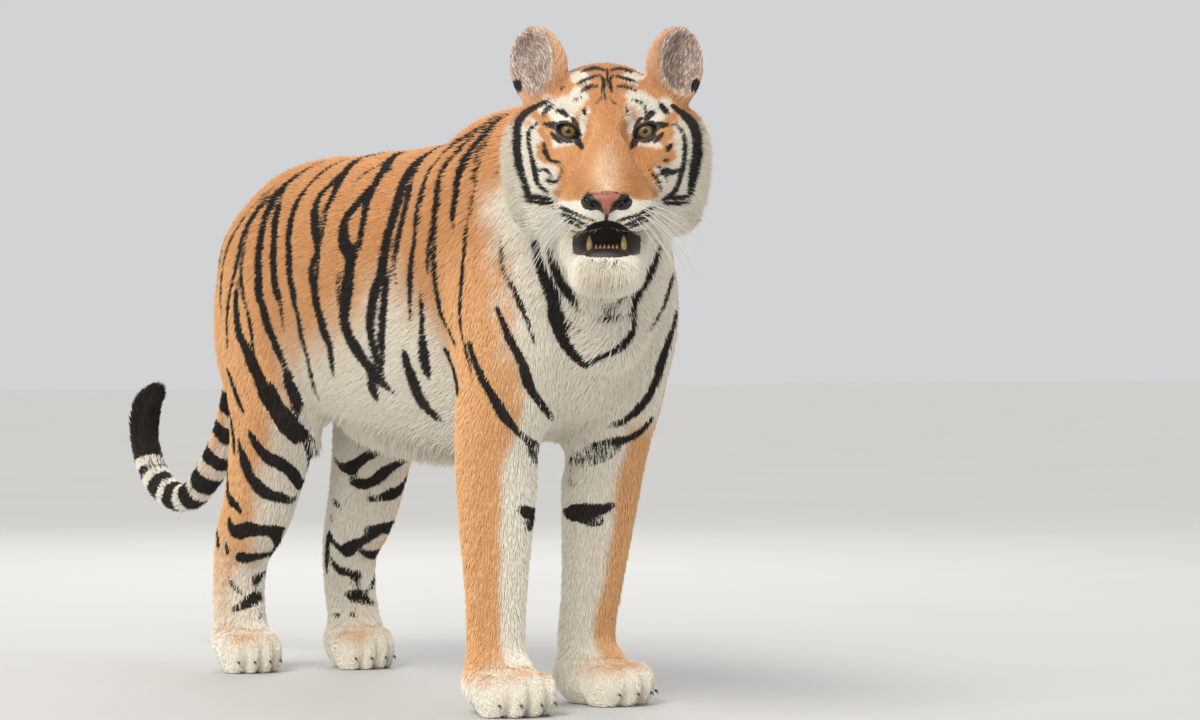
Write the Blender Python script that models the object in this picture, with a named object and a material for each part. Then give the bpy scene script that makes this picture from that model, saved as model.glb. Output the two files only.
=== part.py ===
"""A bengal tiger as a still, life-size model. It stands on four paws, its head turned to its right, its mouth open.

The animal faces -Y with +Z up, its left side is +X, and its soles stand on z = 0. Its body is one surface of soft
forms, which are ellipsoids and sweeps through a few stations named after the bones under them. Each form runs into
its neighbours over a stated width. That surface is parted with thin flat cuts where a person would name the parts.
"""

import math

import bmesh
import bpy
import numpy as np
from mathutils import Matrix, Vector

# Driving dimensions, in metres and degrees.
GAP = 0.0003  # left between neighbouring pieces
BODY_VOXEL = 0.013
HEAD_VOXEL = 0.0045
BODY_TRIANGLES = 2700
HEAD_TRIANGLES = 2350
FAR = 0.15  # how far round itself a form is measured

PUPILS_HEIGHT = 0.912
HEAD_PLACE = (-0.142, -0.830, PUPILS_HEIGHT)  # halfway between the pupils
HEAD_YAW = -31.1  # the face looks to the animal's right
EYE_SPREAD = 0.058  # from the middle of the face to each pupil
EYE_RADIUS = 0.0190
EYE_DEPTH = 0.0145  # from the pupils' plane back to the middle of the eyeball
EYE_OPENING = (0.0162, 0.0106)  # half the width and half the height between the lids
EYE_SLANT = 24  # the outer corner stands higher

FRONT_PAW_WIDTH, FRONT_PAW_LENGTH = 0.124, 0.155
HIND_PAW_WIDTH, HIND_PAW_LENGTH = 0.104, 0.130
PAW_HEIGHT = 0.082

CANINE_HEIGHT = 0.0165
CANINE_SPREAD = 0.0255
INCISOR_COUNT = 6
TOOTH_LINE = (-0.087, -0.175)  # y and z of the lower gum in the head's own frame

FORWARD = np.array((0.0, -1.0, 0.0))
UPWARD = np.array((0.0, 0.0, 1.0))

# Where each paw stands, how far it points outward, and how the leg above it leans.
PAWS = {
    "front_right": {"at": (-0.106, -0.466), "toe_out": 3, "width": FRONT_PAW_WIDTH, "length": FRONT_PAW_LENGTH},
    "front_left": {"at": (0.124, -0.380), "toe_out": 22, "width": FRONT_PAW_WIDTH, "length": FRONT_PAW_LENGTH},
    "hind_right": {"at": (-0.100, 0.492), "toe_out": 0, "width": HIND_PAW_WIDTH, "length": HIND_PAW_LENGTH},
    "hind_left": {"at": (0.110, 0.462), "toe_out": 6, "width": HIND_PAW_WIDTH, "length": HIND_PAW_LENGTH},
}
LEANS = {
    "front_right": (0.010, -0.015, 0.60),
    "front_left": (-0.004, 0.072, 0.60),
    "hind_right": (0.008, 0.000, 0.60),
    "hind_left": (0.006, -0.032, 0.47),
}

# Stations of the trunk: y, height of the widest line, half width, rise above it, drop below it.
TRUNK = {
    "breast": (-0.60, 0.69, 0.080, 0.140, 0.150),
    "point of shoulder": (-0.50, 0.69, 0.128, 0.225, 0.218),
    "withers": (-0.38, 0.68, 0.152, 0.265, 0.245),
    "elbow": (-0.22, 0.66, 0.172, 0.272, 0.258),
    "ribs": (-0.02, 0.65, 0.185, 0.270, 0.250),
    "loin": (0.17, 0.66, 0.180, 0.260, 0.220),
    "hip": (0.33, 0.69, 0.165, 0.228, 0.185),
    "rump": (0.45, 0.69, 0.148, 0.203, 0.170),
    "tail root": (0.56, 0.68, 0.106, 0.142, 0.145),
}
# Stations of the neck: x, y, z, half width, above, below.
NECK = {
    "shoulders": (-0.005, -0.36, 0.77, 0.150, 0.185, 0.190),
    "base": (-0.020, -0.50, 0.80, 0.135, 0.165, 0.200),
    "middle": (-0.055, -0.63, 0.84, 0.122, 0.140, 0.180),
    "skull": (-0.095, -0.715, 0.88, 0.110, 0.115, 0.165),
}
# Stations of the left legs: x, y, z, half width, forward, backward.
FORELEG = {
    "shoulder blade": (0.070, -0.400, 0.82, 0.055, 0.100, 0.110),
    "shoulder": (0.099, -0.470, 0.67, 0.072, 0.125, 0.130),
    "elbow": (0.106, -0.455, 0.54, 0.071, 0.105, 0.095),
    "upper forearm": (0.112, -0.432, 0.43, 0.068, 0.078, 0.070),
    "forearm": (0.114, -0.425, 0.32, 0.062, 0.062, 0.062),
    "lower forearm": (0.116, -0.420, 0.20, 0.051, 0.050, 0.052),
    "wrist": (0.116, -0.415, 0.12, 0.048, 0.047, 0.050),
    "pastern": (0.118, -0.420, 0.07, 0.052, 0.050, 0.050),
}
HINDLEG = {
    "hip": (0.070, 0.400, 0.74, 0.085, 0.140, 0.142),
    "thigh": (0.098, 0.365, 0.62, 0.090, 0.160, 0.165),
    "knee": (0.105, 0.345, 0.51, 0.080, 0.115, 0.150),
    "calf": (0.102, 0.385, 0.41, 0.069, 0.080, 0.104),
    "shank": (0.102, 0.450, 0.31, 0.057, 0.092, 0.068),
    "hock": (0.104, 0.510, 0.225, 0.048, 0.070, 0.052),
    "metatarsus": (0.106, 0.522, 0.15, 0.046, 0.053, 0.048),
    "toes": (0.108, 0.512, 0.08, 0.047, 0.046, 0.046),
}
# Route of the tail and its radius.
TAIL = {
    "root": (0.000, 0.540, 0.790, 0.054),
    "first bend": (0.000, 0.635, 0.735, 0.044),
    "behind the rump": (0.000, 0.692, 0.630, 0.036),
    "hanging": (0.000, 0.722, 0.500, 0.032),
    "leaving the legs": (-0.004, 0.785, 0.390, 0.030),
    "lowest": (-0.018, 0.885, 0.300, 0.028),
    "rising": (-0.034, 0.980, 0.312, 0.028),
    "upright": (-0.044, 1.036, 0.388, 0.028),
    "curl": (-0.046, 1.030, 0.458, 0.029),
    "tip": (-0.044, 0.995, 0.490, 0.022),
}


# Soft forms


def turning(yaw=0.0, pitch=0.0, roll=0.0):
    """Matrix that rolls about Y, then pitches about X, then yaws about Z, by degrees."""
    return np.array(
        Matrix.Rotation(math.radians(yaw), 3, "Z")
        @ Matrix.Rotation(math.radians(pitch), 3, "X")
        @ Matrix.Rotation(math.radians(roll), 3, "Y")
    )


def merged(first, second, width):
    """The smaller of two distances, rounded over width where they are alike."""
    overlap = np.maximum(width - np.abs(first - second), 0.0) / width
    return np.minimum(first, second) - overlap * overlap * width / 4


class Form:
    """A soft form: low and high are the corners of its box."""

    def distance(self, points):
        """About how far each point is from the surface, negative inside, and FAR where it is further than that."""
        near = ((points > self.low - FAR) & (points < self.high + FAR)).all(axis=1)
        result = np.full(len(points), FAR)
        if near.any():
            result[near] = np.minimum(self.measure(points[near]), FAR)
        return result

    def add_hollows_to(self, mesh, place):
        """Adds the shapes that are cut away from this form, if it has any."""


class Blob(Form):
    """An ellipsoid. A paired one stands on both sides of the plane x = 0."""

    def __init__(self, centre, radii, tilt=(0, 0, 0), paired=False):
        self.centre = np.array(centre, float)
        self.radii = np.array(radii, float)
        self.axes = turning(*tilt)
        self.paired = paired
        reach = max(radii)
        self.low, self.high = self.centre - reach, self.centre + reach
        if paired:
            self.low[0] = -self.high[0]

    def measure(self, points):
        if self.paired:
            points = points * (1, 1, 1)
            points[:, 0] = np.abs(points[:, 0])
        local = (points - self.centre) @ self.axes
        reach = np.linalg.norm(local / self.radii, axis=1)
        slope = np.linalg.norm(local / self.radii**2, axis=1)
        return reach * (reach - 1) / np.maximum(slope, 1e-9)

    def add_to(self, mesh, place):
        frame = Matrix.Translation(Vector(self.centre)) @ Matrix(self.axes.tolist()).to_4x4()
        frame = frame @ Matrix.Diagonal((*self.radii, 1))
        for side in (1, -1) if self.paired else (1,):
            flip = Matrix.Diagonal((side, 1, 1, 1))
            ball = bmesh.ops.create_icosphere(mesh, subdivisions=3, radius=1, matrix=place @ flip @ frame)
            if side < 0:
                faces = {face for vertex in ball["verts"] for face in vertex.link_faces}
                bmesh.ops.reverse_faces(mesh, faces=list(faces))


class Sweep(Form):
    """A limb-like form along a smooth route of stations (x, y, z, half width, front reach, back reach).

    front is the way that the front reach is measured in, and squareness is 2 for elliptic sections.
    """

    STEPS = 6  # between two stations
    RING = 24
    DOME = (1.3, 0.9, 0.45)  # angles of the rings that round off each end

    def __init__(self, stations, front, squareness=2.0, blunt=1.0):
        rows = np.array(list(stations), float)
        ends = np.vstack([2 * rows[0] - rows[1], rows, 2 * rows[-1] - rows[-2]])
        share = np.arange(self.STEPS)[:, None] / self.STEPS
        smooth = []
        for before, start, stop, after in zip(ends, ends[1:], ends[2:], ends[3:]):
            bend = 2 * before - 5 * start + 4 * stop - after
            twist = 3 * start - before - 3 * stop + after
            smooth.append(start + (stop - before) * share / 2 + bend * share**2 / 2 + twist * share**3 / 2)
        self.rows = np.vstack([*smooth, rows[-1:]])
        along = np.gradient(self.rows[:, :3], axis=0)
        self.along = along / np.linalg.norm(along, axis=1)[:, None]
        self.front, self.squareness, self.blunt = front, squareness, blunt
        reach = self.rows[:, 3:].max()
        self.low = self.rows[:, :3].min(axis=0) - reach
        self.high = self.rows[:, :3].max(axis=0) + reach

    def nearest(self, points):
        """The interpolated row and direction of the route next to each point."""
        best = np.full(len(points), np.inf)
        place = np.zeros(len(points))
        for index, (start, stop) in enumerate(zip(self.rows[:-1, :3], self.rows[1:, :3])):
            span = stop - start
            share = np.clip((points - start) @ span / (span @ span), 0, 1)
            gap = ((points - start - share[:, None] * span) ** 2).sum(axis=1)
            closer = gap < best
            best[closer] = gap[closer]
            place[closer] = index + share[closer]
        index = np.minimum(place.astype(int), len(self.rows) - 2)
        share = (place - index)[:, None]
        row = self.rows[index] * (1 - share) + self.rows[index + 1] * share
        along = self.along[index] * (1 - share) + self.along[index + 1] * share
        return row, along / np.linalg.norm(along, axis=1)[:, None]

    def section_axes(self, along):
        side = np.cross(along, self.front)
        side /= np.linalg.norm(side, axis=-1, keepdims=True)
        return side, np.cross(side, along)

    def measure(self, points):
        row, along = self.nearest(points)
        side, fore = self.section_axes(along)
        offset = points - row[:, :3]
        local = np.stack([(offset * axis).sum(axis=1) for axis in (side, fore, along)], axis=1)
        depth = np.where(local[:, 1] > 0, row[:, 4], row[:, 5])
        length = self.blunt * np.minimum(row[:, 3], (row[:, 4] + row[:, 5]) / 2)
        radii = np.stack([row[:, 3], depth, length], axis=1)
        share = np.abs(local / radii)
        total = np.maximum((share**self.squareness).sum(axis=1), 1e-12)
        reach = total ** (1 / self.squareness)
        slope = np.linalg.norm(share ** (self.squareness - 1) / radii, axis=1) * reach / total
        return (reach - 1) / np.maximum(slope, 1e-6)

    def add_to(self, mesh, place):
        side, fore = self.section_axes(self.along)
        sections = [(0, math.cos(angle), -math.sin(angle)) for angle in self.DOME]
        sections += [(index, 1, 0) for index in range(len(self.rows))]
        sections += [(-1, math.cos(angle), math.sin(angle)) for angle in reversed(self.DOME)]
        rings = []
        for index, size, push in sections:
            row = self.rows[index]
            length = self.blunt * min(row[3], (row[4] + row[5]) / 2)
            middle = row[:3] + self.along[index] * push * length
            ring = []
            for angle in np.arange(self.RING) * 2 * math.pi / self.RING:
                depth = row[4] if math.sin(angle) > 0 else row[5]
                edge = side[index] * row[3] * math.cos(angle) + fore[index] * depth * math.sin(angle)
                ring.append(mesh.verts.new(place @ Vector(middle + edge * size)))
            rings.append(ring)
        for ring, following in zip(rings, rings[1:]):
            for index in range(self.RING):
                after = (index + 1) % self.RING
                mesh.faces.new((ring[index], ring[after], following[after], following[index]))
        mesh.faces.new(rings[0][::-1])
        mesh.faces.new(rings[-1])


class Mass(Form):
    """Forms fused in order. Each step is (form, blend width), and hollows are cut away over their width."""

    def __init__(self, steps, hollows=()):
        self.steps, self.hollows = steps, hollows
        self.low = np.min([form.low for form, _ in steps], axis=0)
        self.high = np.max([form.high for form, _ in steps], axis=0)

    def measure(self, points):
        result = np.full(len(points), FAR)
        for form, width in self.steps:
            result = merged(result, form.distance(points), width)
        for form, width in self.hollows:
            result = -merged(-result, form.distance(points), width)
        return result

    def add_to(self, mesh, place):
        for form, _ in self.steps:
            form.add_to(mesh, place)

    def add_hollows_to(self, mesh, place):
        for form, _ in self.steps:
            form.add_hollows_to(mesh, place)
        for form, _ in self.hollows:
            form.add_to(mesh, place)


class Placed(Form):
    """A mass in a frame of its own, turned and set down at a place."""

    def __init__(self, mass, at, yaw):
        self.mass, self.at, self.axes = mass, np.array(at, float), turning(yaw)
        corners = np.array([(x, y, z) for x in (0, 1) for y in (0, 1) for z in (0, 1)])
        corners = self.at + (mass.low + corners * (mass.high - mass.low)) @ self.axes.T
        self.low, self.high = corners.min(axis=0), corners.max(axis=0)
        self.frame = Matrix.Translation(Vector(self.at)) @ Matrix(self.axes.tolist()).to_4x4()

    def measure(self, points):
        return self.mass.distance((points - self.at) @ self.axes)

    def add_to(self, mesh, place):
        self.mass.add_to(mesh, place @ self.frame)

    def add_hollows_to(self, mesh, place):
        self.mass.add_hollows_to(mesh, place @ self.frame)


# The animal's forms


def trunk():
    rows = [(0, y, z, side, up, down) for y, z, side, up, down in TRUNK.values()]
    return Sweep(rows, UPWARD, squareness=2.15, blunt=0.9)


def neck():
    return Sweep(NECK.values(), UPWARD)


def nape():
    """The end of the neck that the head stands on."""
    return Sweep(list(NECK.values())[2:], UPWARD)


def tail():
    return Sweep([(x, y, z, r, r, r) for x, y, z, r in TAIL.values()], UPWARD)


def leg(name):
    """A leg, its lower stations moved to where its paw stands."""
    stations = FORELEG if name.startswith("front") else HINDLEG
    side = -1 if name.endswith("right") else 1
    outward, backward, start = LEANS[name]
    rows = []
    for x, y, z, *radii in stations.values():
        lean = min(1.0, max(0.0, (start - z) / (start - 0.1)))
        rows.append((side * x + outward * lean, y + backward * lean, z, *radii))
    return Sweep(rows, FORWARD, squareness=2.15)


def paw(name):
    """A pad with four toes, in a frame with its middle on the ground and its toes towards -Y."""
    width, length = PAWS[name]["width"], PAWS[name]["length"]
    pad = Blob((0, 0.09 * length, 0.040), (0.46 * width, 0.475 * length, 0.044))
    steps = [(pad, 0.01)]
    for across, ahead in ((-0.37, -0.21), (-0.135, -0.30), (0.135, -0.30), (0.37, -0.21)):
        spread = -across * 28
        toe = Blob((across * width, ahead * length, 0.034), (0.17 * width, 0.25 * length, 0.036), (spread, 0, 0))
        steps.append((toe, 0.016))
    x, y = PAWS[name]["at"]
    side = -1 if name.endswith("right") else 1
    return Placed(Mass(steps), (x, y, 0), side * PAWS[name]["toe_out"])


def cranium():
    """The head without its jaw, in the head's own frame: the origin is halfway between the pupils."""
    bridge = Sweep(
        [
            (0, 0.020, 0.012, 0.030, 0.038, 0.05),
            (0, -0.034, -0.030, 0.033, 0.036, 0.05),
            (0, -0.074, -0.062, 0.038, 0.033, 0.05),
            (0, -0.108, -0.090, 0.040, 0.028, 0.04),
        ],
        UPWARD,
        squareness=2.5,
    )
    return [
        (Blob((0, 0.100, 0.016), (0.100, 0.112, 0.092)), 0.01),
        (Blob((0, 0.042, 0.022), (0.080, 0.066, 0.056)), 0.03),
        (bridge, 0.03),
        (Blob((0.082, 0.046, -0.022), (0.050, 0.058, 0.060), (0, 0, 10), paired=True), 0.035),
        (Blob((0.080, 0.050, -0.090), (0.056, 0.060, 0.066), paired=True), 0.035),
        (Blob((0.058, 0.004, -0.074), (0.042, 0.055, 0.046), (14, 0, 0), paired=True), 0.035),
        (Blob((0.112, 0.075, -0.055), (0.042, 0.042, 0.090), (20, 0, 8), paired=True), 0.045),
    ]


def muzzle():
    return [
        (Blob((0, -0.062, -0.100), (0.058, 0.070, 0.046)), 0.030),
        (Blob((0.037, -0.082, -0.124), (0.039, 0.050, 0.035), (-12, 0, -12), paired=True), 0.022),
        (Blob((0, -0.112, -0.108), (0.034, 0.027, 0.020)), 0.010),
    ]


def jaw():
    bone = Sweep(
        [
            (0, 0.050, -0.140, 0.074, 0.040, 0.050),
            (0, -0.005, -0.185, 0.060, 0.030, 0.044),
            (0, -0.055, -0.204, 0.052, 0.032, 0.040),
            (0, -0.078, -0.206, 0.046, 0.034, 0.036),
        ],
        UPWARD,
        squareness=2.4,
    )
    return [(bone, 0.014)]


def ears():
    tilt = (34, -10, 20)
    middle = np.array((0.103, 0.066, 0.099))
    inside = middle + turning(*tilt) @ (0, -0.024, 0.004)
    shell = Mass(
        [(Blob(middle, (0.046, 0.034, 0.066), tilt, paired=True), 0.01)],
        hollows=[(Blob(inside, (0.036, 0.034, 0.054), tilt, paired=True), 0.006)],
    )
    return [(shell, 0.018)]


def mouth():
    """The opening between the lips, whose upper edge is an arch."""
    return [
        (Blob((0, -0.080, -0.163), (0.042, 0.062, 0.011)), 0.006),
        (Blob((0, -0.110, -0.156), (0.028, 0.040, 0.016)), 0.006),
        (Blob((0, -0.140, -0.136), (0.003, 0.012, 0.016)), 0.006),
    ]


def head():
    """The whole head. The lids are a mound over each eyeball, which the eye's opening is cut through."""
    steps = [*cranium(), *muzzle(), *jaw(), *ears()]
    sockets = [(Blob((EYE_SPREAD - 0.004, -0.034, -0.003), (0.031, 0.037, 0.025), paired=True), 0.014)]
    lids = Blob((EYE_SPREAD, EYE_DEPTH, 0.0), (0.025, EYE_RADIUS + 0.0035, 0.021), (8, 0, -20), paired=True)
    carved = Mass(steps, hollows=[*mouth(), *sockets])
    return Placed(Mass([(carved, 0.01), (lids, 0.014)]), HEAD_PLACE, HEAD_YAW)


def animal():
    limbs = [(leg(name), 0.06) for name in PAWS]
    feet = [(paw(name), 0.035) for name in PAWS]
    return Mass([(trunk(), 0.01), (neck(), 0.10), *limbs, *feet, (tail(), 0.03), (head(), 0.05)])


# Meshes


def new_object(name, mesh):
    data = bpy.data.meshes.new(name)
    mesh.to_mesh(data)
    mesh.free()
    result = bpy.data.objects.new(name, data)
    bpy.context.scene.collection.objects.link(result)
    return result


def remove(*objects):
    for item in objects:
        bpy.data.objects.remove(item)


def settled(item, kind, **settings):
    """Adds one modifier and makes its result the object's own mesh."""
    modifier = item.modifiers.new(kind, kind)
    for name, value in settings.items():
        setattr(modifier, name, value)
    bpy.context.view_layer.update()
    graph = bpy.context.evaluated_depsgraph_get()
    mesh = bpy.data.meshes.new_from_object(item.evaluated_get(graph))
    item.modifiers.clear()
    item.data = mesh
    return item


def combined(item, other, operation):
    """A Boolean of two closed meshes. The exact solver drops whole pieces of a thinned soft surface like this."""
    return settled(item, "BOOLEAN", object=other, operation=operation, solver="MANIFOLD")


def block(middle, size, tilt=(0, 0, 0), grow=0.0):
    """A box to cut with. grow moves each of its faces outward."""
    mesh = bmesh.new()
    sides = Matrix.Diagonal((*(length + 2 * grow for length in size), 1))
    turned = Matrix(turning(*tilt).tolist()).to_4x4()
    bmesh.ops.create_cube(mesh, size=1, matrix=Matrix.Translation(Vector(middle)) @ turned @ sides)
    cutter = new_object("block", mesh)
    cutter.hide_render = True
    cutter.display_type = "WIRE"
    return cutter


def coordinates(item):
    flat = np.empty(len(item.data.vertices) * 3)
    item.data.vertices.foreach_get("co", flat)
    return flat.reshape(-1, 3)


def fused(name, rough, form, voxel, triangles):
    """One closed mesh of the surface of form, begun from the shapes of rough and thinned to a triangle count."""
    mesh = bmesh.new()
    rough.add_to(mesh, Matrix())
    item = settled(new_object(name, mesh), "REMESH", mode="VOXEL", voxel_size=voxel)
    mesh = bmesh.new()
    rough.add_hollows_to(mesh, Matrix())
    if mesh.verts:
        hollow = settled(new_object("hollow", mesh), "REMESH", mode="VOXEL", voxel_size=voxel)
        item = combined(item, hollow, "DIFFERENCE")
        item = settled(item, "REMESH", mode="VOXEL", voxel_size=voxel)
        remove(hollow)
    else:
        mesh.free()
    draw_onto(item, form, rounds=4)
    settled(item, "REMESH", mode="VOXEL", voxel_size=voxel)
    draw_onto(item, form, rounds=4)
    faces = sum(len(face.vertices) - 2 for face in item.data.polygons)
    return settled(item, "DECIMATE", ratio=min(1.0, triangles / faces))


def draw_onto(item, form, rounds, step=0.001):
    """Moves each vertex along the slope of the form's distance until it lies on the form's surface."""
    points = coordinates(item)
    for _ in range(rounds):
        here = form.distance(points)
        slope = np.stack([form.distance(points + step * axis) - here for axis in np.eye(3)], axis=1) / step
        steepness = np.maximum((slope**2).sum(axis=1), 0.3)
        points -= (0.85 * here / steepness)[:, None] * slope
    item.data.vertices.foreach_set("co", points.ravel())
    item.data.update()


def largest_only(item):
    """Drops every closed shell of a mesh but the one with the most vertices."""
    mesh = bmesh.new()
    mesh.from_mesh(item.data)
    left = set(mesh.verts)
    shells = []
    while left:
        shell, edge = set(), {left.pop()}
        while edge:
            shell |= edge
            edge = {link.other_vert(vertex) for vertex in edge for link in vertex.link_edges} - shell
        left -= shell
        shells.append(shell)
    shells.sort(key=len)
    bmesh.ops.delete(mesh, geom=[vertex for shell in shells[:-1] for vertex in shell], context="VERTS")
    mesh.to_mesh(item.data)
    mesh.free()


def parted(item, name, cutter):
    """Cuts what lies in a cutter off an object as a new piece, with a gap between the two.

    cutter makes the cutting object from the distance that its faces are moved outward.
    """
    piece = item.copy()
    piece.data = item.data.copy()
    piece.name = name
    bpy.context.scene.collection.objects.link(piece)
    inner, outer = cutter(-GAP / 2), cutter(GAP / 2)
    combined(piece, inner, "INTERSECT")
    combined(item, outer, "DIFFERENCE")
    remove(inner, outer)
    largest_only(piece)
    largest_only(item)
    return piece


def box_of(middle, size, tilt=(0, 0, 0)):
    """A box cutter for parted."""
    return lambda grow: block(middle, size, tilt, grow)


def in_head(point):
    """A point of the head's own frame, in the animal's."""
    return tuple(np.array(HEAD_PLACE) + turning(HEAD_YAW) @ point)


# The parts of the body


# Boxes that part the head, in its own frame: middle, size, pitch, roll.
HEAD_CUT = ((0, -0.085, -0.020), (0.60, 0.40, 0.62), -15, 0)
JAW_CUT = ((0, -0.068, -0.238), (0.150, 0.190, 0.150), 4, 0)
EAR_CUT = ((0.127, 0.066, 0.119), (0.125, 0.140, 0.120), 0, 31)
NOSE_PAD = ((0, -0.136, -0.106), (0.038, 0.030, 0.020))  # middle and radii


def part_legs(body):
    for name, paw_place in PAWS.items():
        x, y = paw_place["at"]
        side = -1 if name.endswith("right") else 1
        front = name.startswith("front")
        knee = 0.36 if front else 0.33
        parted(body, f"{name}_paw", box_of((x, y, 0), (0.20, 0.26, 2 * PAW_HEIGHT)))
        parted(body, f"{name}_lower_leg", box_of((x, y - 0.02, 0), (0.20, 0.34, 2 * knee)))
        lean, inner, width, height = (14, 0.028, 0.26, 0.36) if front else (12, 0.014, 0.28, 0.38)
        middle_y, depth = (-0.455, 0.34) if front else (0.395, 0.45)
        corner = np.array((inner, middle_y, knee))
        middle = corner + turning(roll=lean) @ (width / 2, 0, height / 2)
        middle[0] *= side
        parted(body, f"{name}_upper_leg", box_of(middle, (width, depth, height), (0, 0, side * lean)))


def part_tail(body):
    """The tail in five lengths, cut square to its route, from the tip inward."""
    route = tail().rows
    cuts = (14, 22, 30, 38, 46)
    for number, cut in reversed(list(enumerate(cuts, start=1))):
        along = route[cut + 1, :3] - route[cut - 1, :3]
        along /= np.linalg.norm(along)
        pitch = math.degrees(math.asin(along[2]))
        yaw = math.degrees(math.atan2(-along[0], along[1]))
        length, across = (0.20, 0.19) if number > 1 else (0.16, 0.15)
        middle = route[cut, :3] + along * length / 2
        parted(body, f"tail_{number}", box_of(middle, (0.15, length, across), (yaw, pitch, 0)))


def part_trunk(body):
    parted(body, "neck", box_of((0, -0.70, 0.87), (0.60, 0.40, 0.70), (0, 24, 0)))
    parted(body, "chest", box_of((0, -0.50, 0.65), (0.60, 0.60, 0.70)))
    parted(body, "belly", box_of((0, 0.00, 0.65), (0.60, 0.40, 0.70)))
    body.name = "rump"


def head_box(place, side=1):
    (x, y, z), size, pitch, roll = place
    return box_of(in_head((side * x, y, z)), size, (HEAD_YAW, pitch, side * roll))


def part_head(head_piece):
    parted(head_piece, "ear_left", head_box(EAR_CUT))
    parted(head_piece, "ear_right", head_box(EAR_CUT, side=-1))
    centre, radii = NOSE_PAD
    parted(head_piece, "nose", lambda grow: egg("nose", in_head(centre), np.add(radii, grow), HEAD_YAW, 2))
    return parted(head_piece, "lower_jaw", head_box(JAW_CUT))


def egg(name, centre, radii, yaw=0.0, subdivisions=3):
    mesh = bmesh.new()
    turned = Matrix(turning(yaw).tolist()).to_4x4()
    place = Matrix.Translation(Vector(centre)) @ turned @ Matrix.Diagonal((*radii, 1))
    bmesh.ops.create_icosphere(mesh, subdivisions=subdivisions, radius=1, matrix=place)
    return new_object(name, mesh)


def eye_opening(side):
    """An elliptic hole from the lids' surface back to the eyeball."""
    width, height = EYE_OPENING
    depth = 0.060
    place = Matrix.Translation(Vector(in_head((side * EYE_SPREAD, EYE_DEPTH - depth / 2, 0))))
    place = place @ Matrix(turning(HEAD_YAW, 90, -side * EYE_SLANT).tolist()).to_4x4()
    mesh = bmesh.new()
    bmesh.ops.create_cone(mesh, cap_ends=True, segments=20, radius1=1, radius2=1, depth=depth, matrix=Matrix())
    bmesh.ops.transform(mesh, matrix=place @ Matrix.Diagonal((width, height, 1, 1)), verts=mesh.verts)
    return new_object("opening", mesh)


def add_eyes(head_piece):
    for name, side in (("eye_left", 1), ("eye_right", -1)):
        centre = in_head((side * EYE_SPREAD, EYE_DEPTH, 0))
        socket = egg("socket", centre, [EYE_RADIUS + 2 * GAP] * 3)
        opening = eye_opening(side)
        combined(head_piece, socket, "DIFFERENCE")
        combined(head_piece, opening, "DIFFERENCE")
        remove(socket, opening)
        egg(name, centre, [EYE_RADIUS] * 3)


def add_teeth(jaw_piece):
    """Two lower canines with a row of incisors between them, standing in the jaw."""
    y, z = TOOTH_LINE

    def tooth(x, radius, height):
        place = Matrix.Translation(Vector(in_head((x, y, z + height / 2 - 0.004))))
        mesh = bmesh.new()
        bmesh.ops.create_cone(
            mesh, cap_ends=True, segments=8, radius1=radius, radius2=radius / 3, depth=height + 0.008, matrix=place
        )
        cone = new_object("tooth", mesh)
        combined(jaw_piece, cone, "UNION")
        remove(cone)

    for side in (1, -1):
        tooth(side * CANINE_SPREAD, 0.0055, CANINE_HEIGHT)
    for number in range(INCISOR_COUNT):
        tooth((number - (INCISOR_COUNT - 1) / 2) * 0.0062, 0.0028, 0.006)


# Finishes: colour and roughness of each part, by how its name starts.

FINISHES = {
    "eye": ((0.30, 0.20, 0.05), 0.08),
    "nose": ((0.42, 0.14, 0.10), 0.45),
    "lower_jaw": ((0.78, 0.72, 0.62), 0.80),
    "tail": ((0.62, 0.38, 0.18), 0.85),
    "ear": ((0.55, 0.40, 0.30), 0.85),
    "": ((0.76, 0.36, 0.12), 0.85),
}


def finish(item):
    colour, roughness = next(values for start, values in FINISHES.items() if item.name.startswith(start))
    material = bpy.data.materials.new(item.name)
    material.use_nodes = True
    shader = material.node_tree.nodes["Principled BSDF"]
    shader.inputs["Base Color"].default_value = (*colour, 1)
    shader.inputs["Roughness"].default_value = roughness
    shader.inputs["Metallic"].default_value = 0.0
    item.data.materials.clear()
    item.data.materials.append(material)
    item.data.shade_smooth()
    item.data.set_sharp_from_angle(angle=math.radians(50))


def centre_on_floor(items):
    """Moves the whole animal so that its box stands on z = 0 with its middle over the origin."""
    points = np.vstack([coordinates(item) for item in items])
    low, high = points.min(axis=0), points.max(axis=0)
    shift = Matrix.Translation((-(low[0] + high[0]) / 2, -(low[1] + high[1]) / 2, 0))
    for item in items:
        item.data.transform(shift)


def main():
    for item in list(bpy.data.objects):
        bpy.data.objects.remove(item)
    whole = animal()
    body = fused("body", whole, whole, BODY_VOXEL, BODY_TRIANGLES)
    floor = block((0, 0, -0.5), (4, 4, 1))
    combined(body, floor, "DIFFERENCE")
    remove(floor)
    face = fused("face", Mass([(nape(), 0.01), (head(), 0.05)]), whole, HEAD_VOXEL, HEAD_TRIANGLES)
    head_piece = parted(face, "head", head_box(HEAD_CUT))
    remove(parted(body, "spare", head_box(HEAD_CUT)), face)
    part_legs(body)
    part_tail(body)
    part_trunk(body)
    add_teeth(part_head(head_piece))
    add_eyes(head_piece)
    items = list(bpy.data.objects)
    centre_on_floor(items)
    for item in items:
        finish(item)


if __name__ == "__main__":
    main()
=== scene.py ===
"""The looks of a life-size bengal tiger: a skin under a coat of tufts, eyes, nose, teeth, whiskers and claws.

The animal faces -Y, its left side is +X and it stands on z = 0. Shapes are worked out in the animal's own
frame, whose origin is on the floor under the middle of the trunk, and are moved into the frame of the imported
model at the end.
"""
import logging
import math
from dataclasses import dataclass, field
from enum import Enum
from typing import Iterable, Sequence

import bmesh
import bpy
import numpy as np
from mathutils import Matrix, Vector


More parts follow.
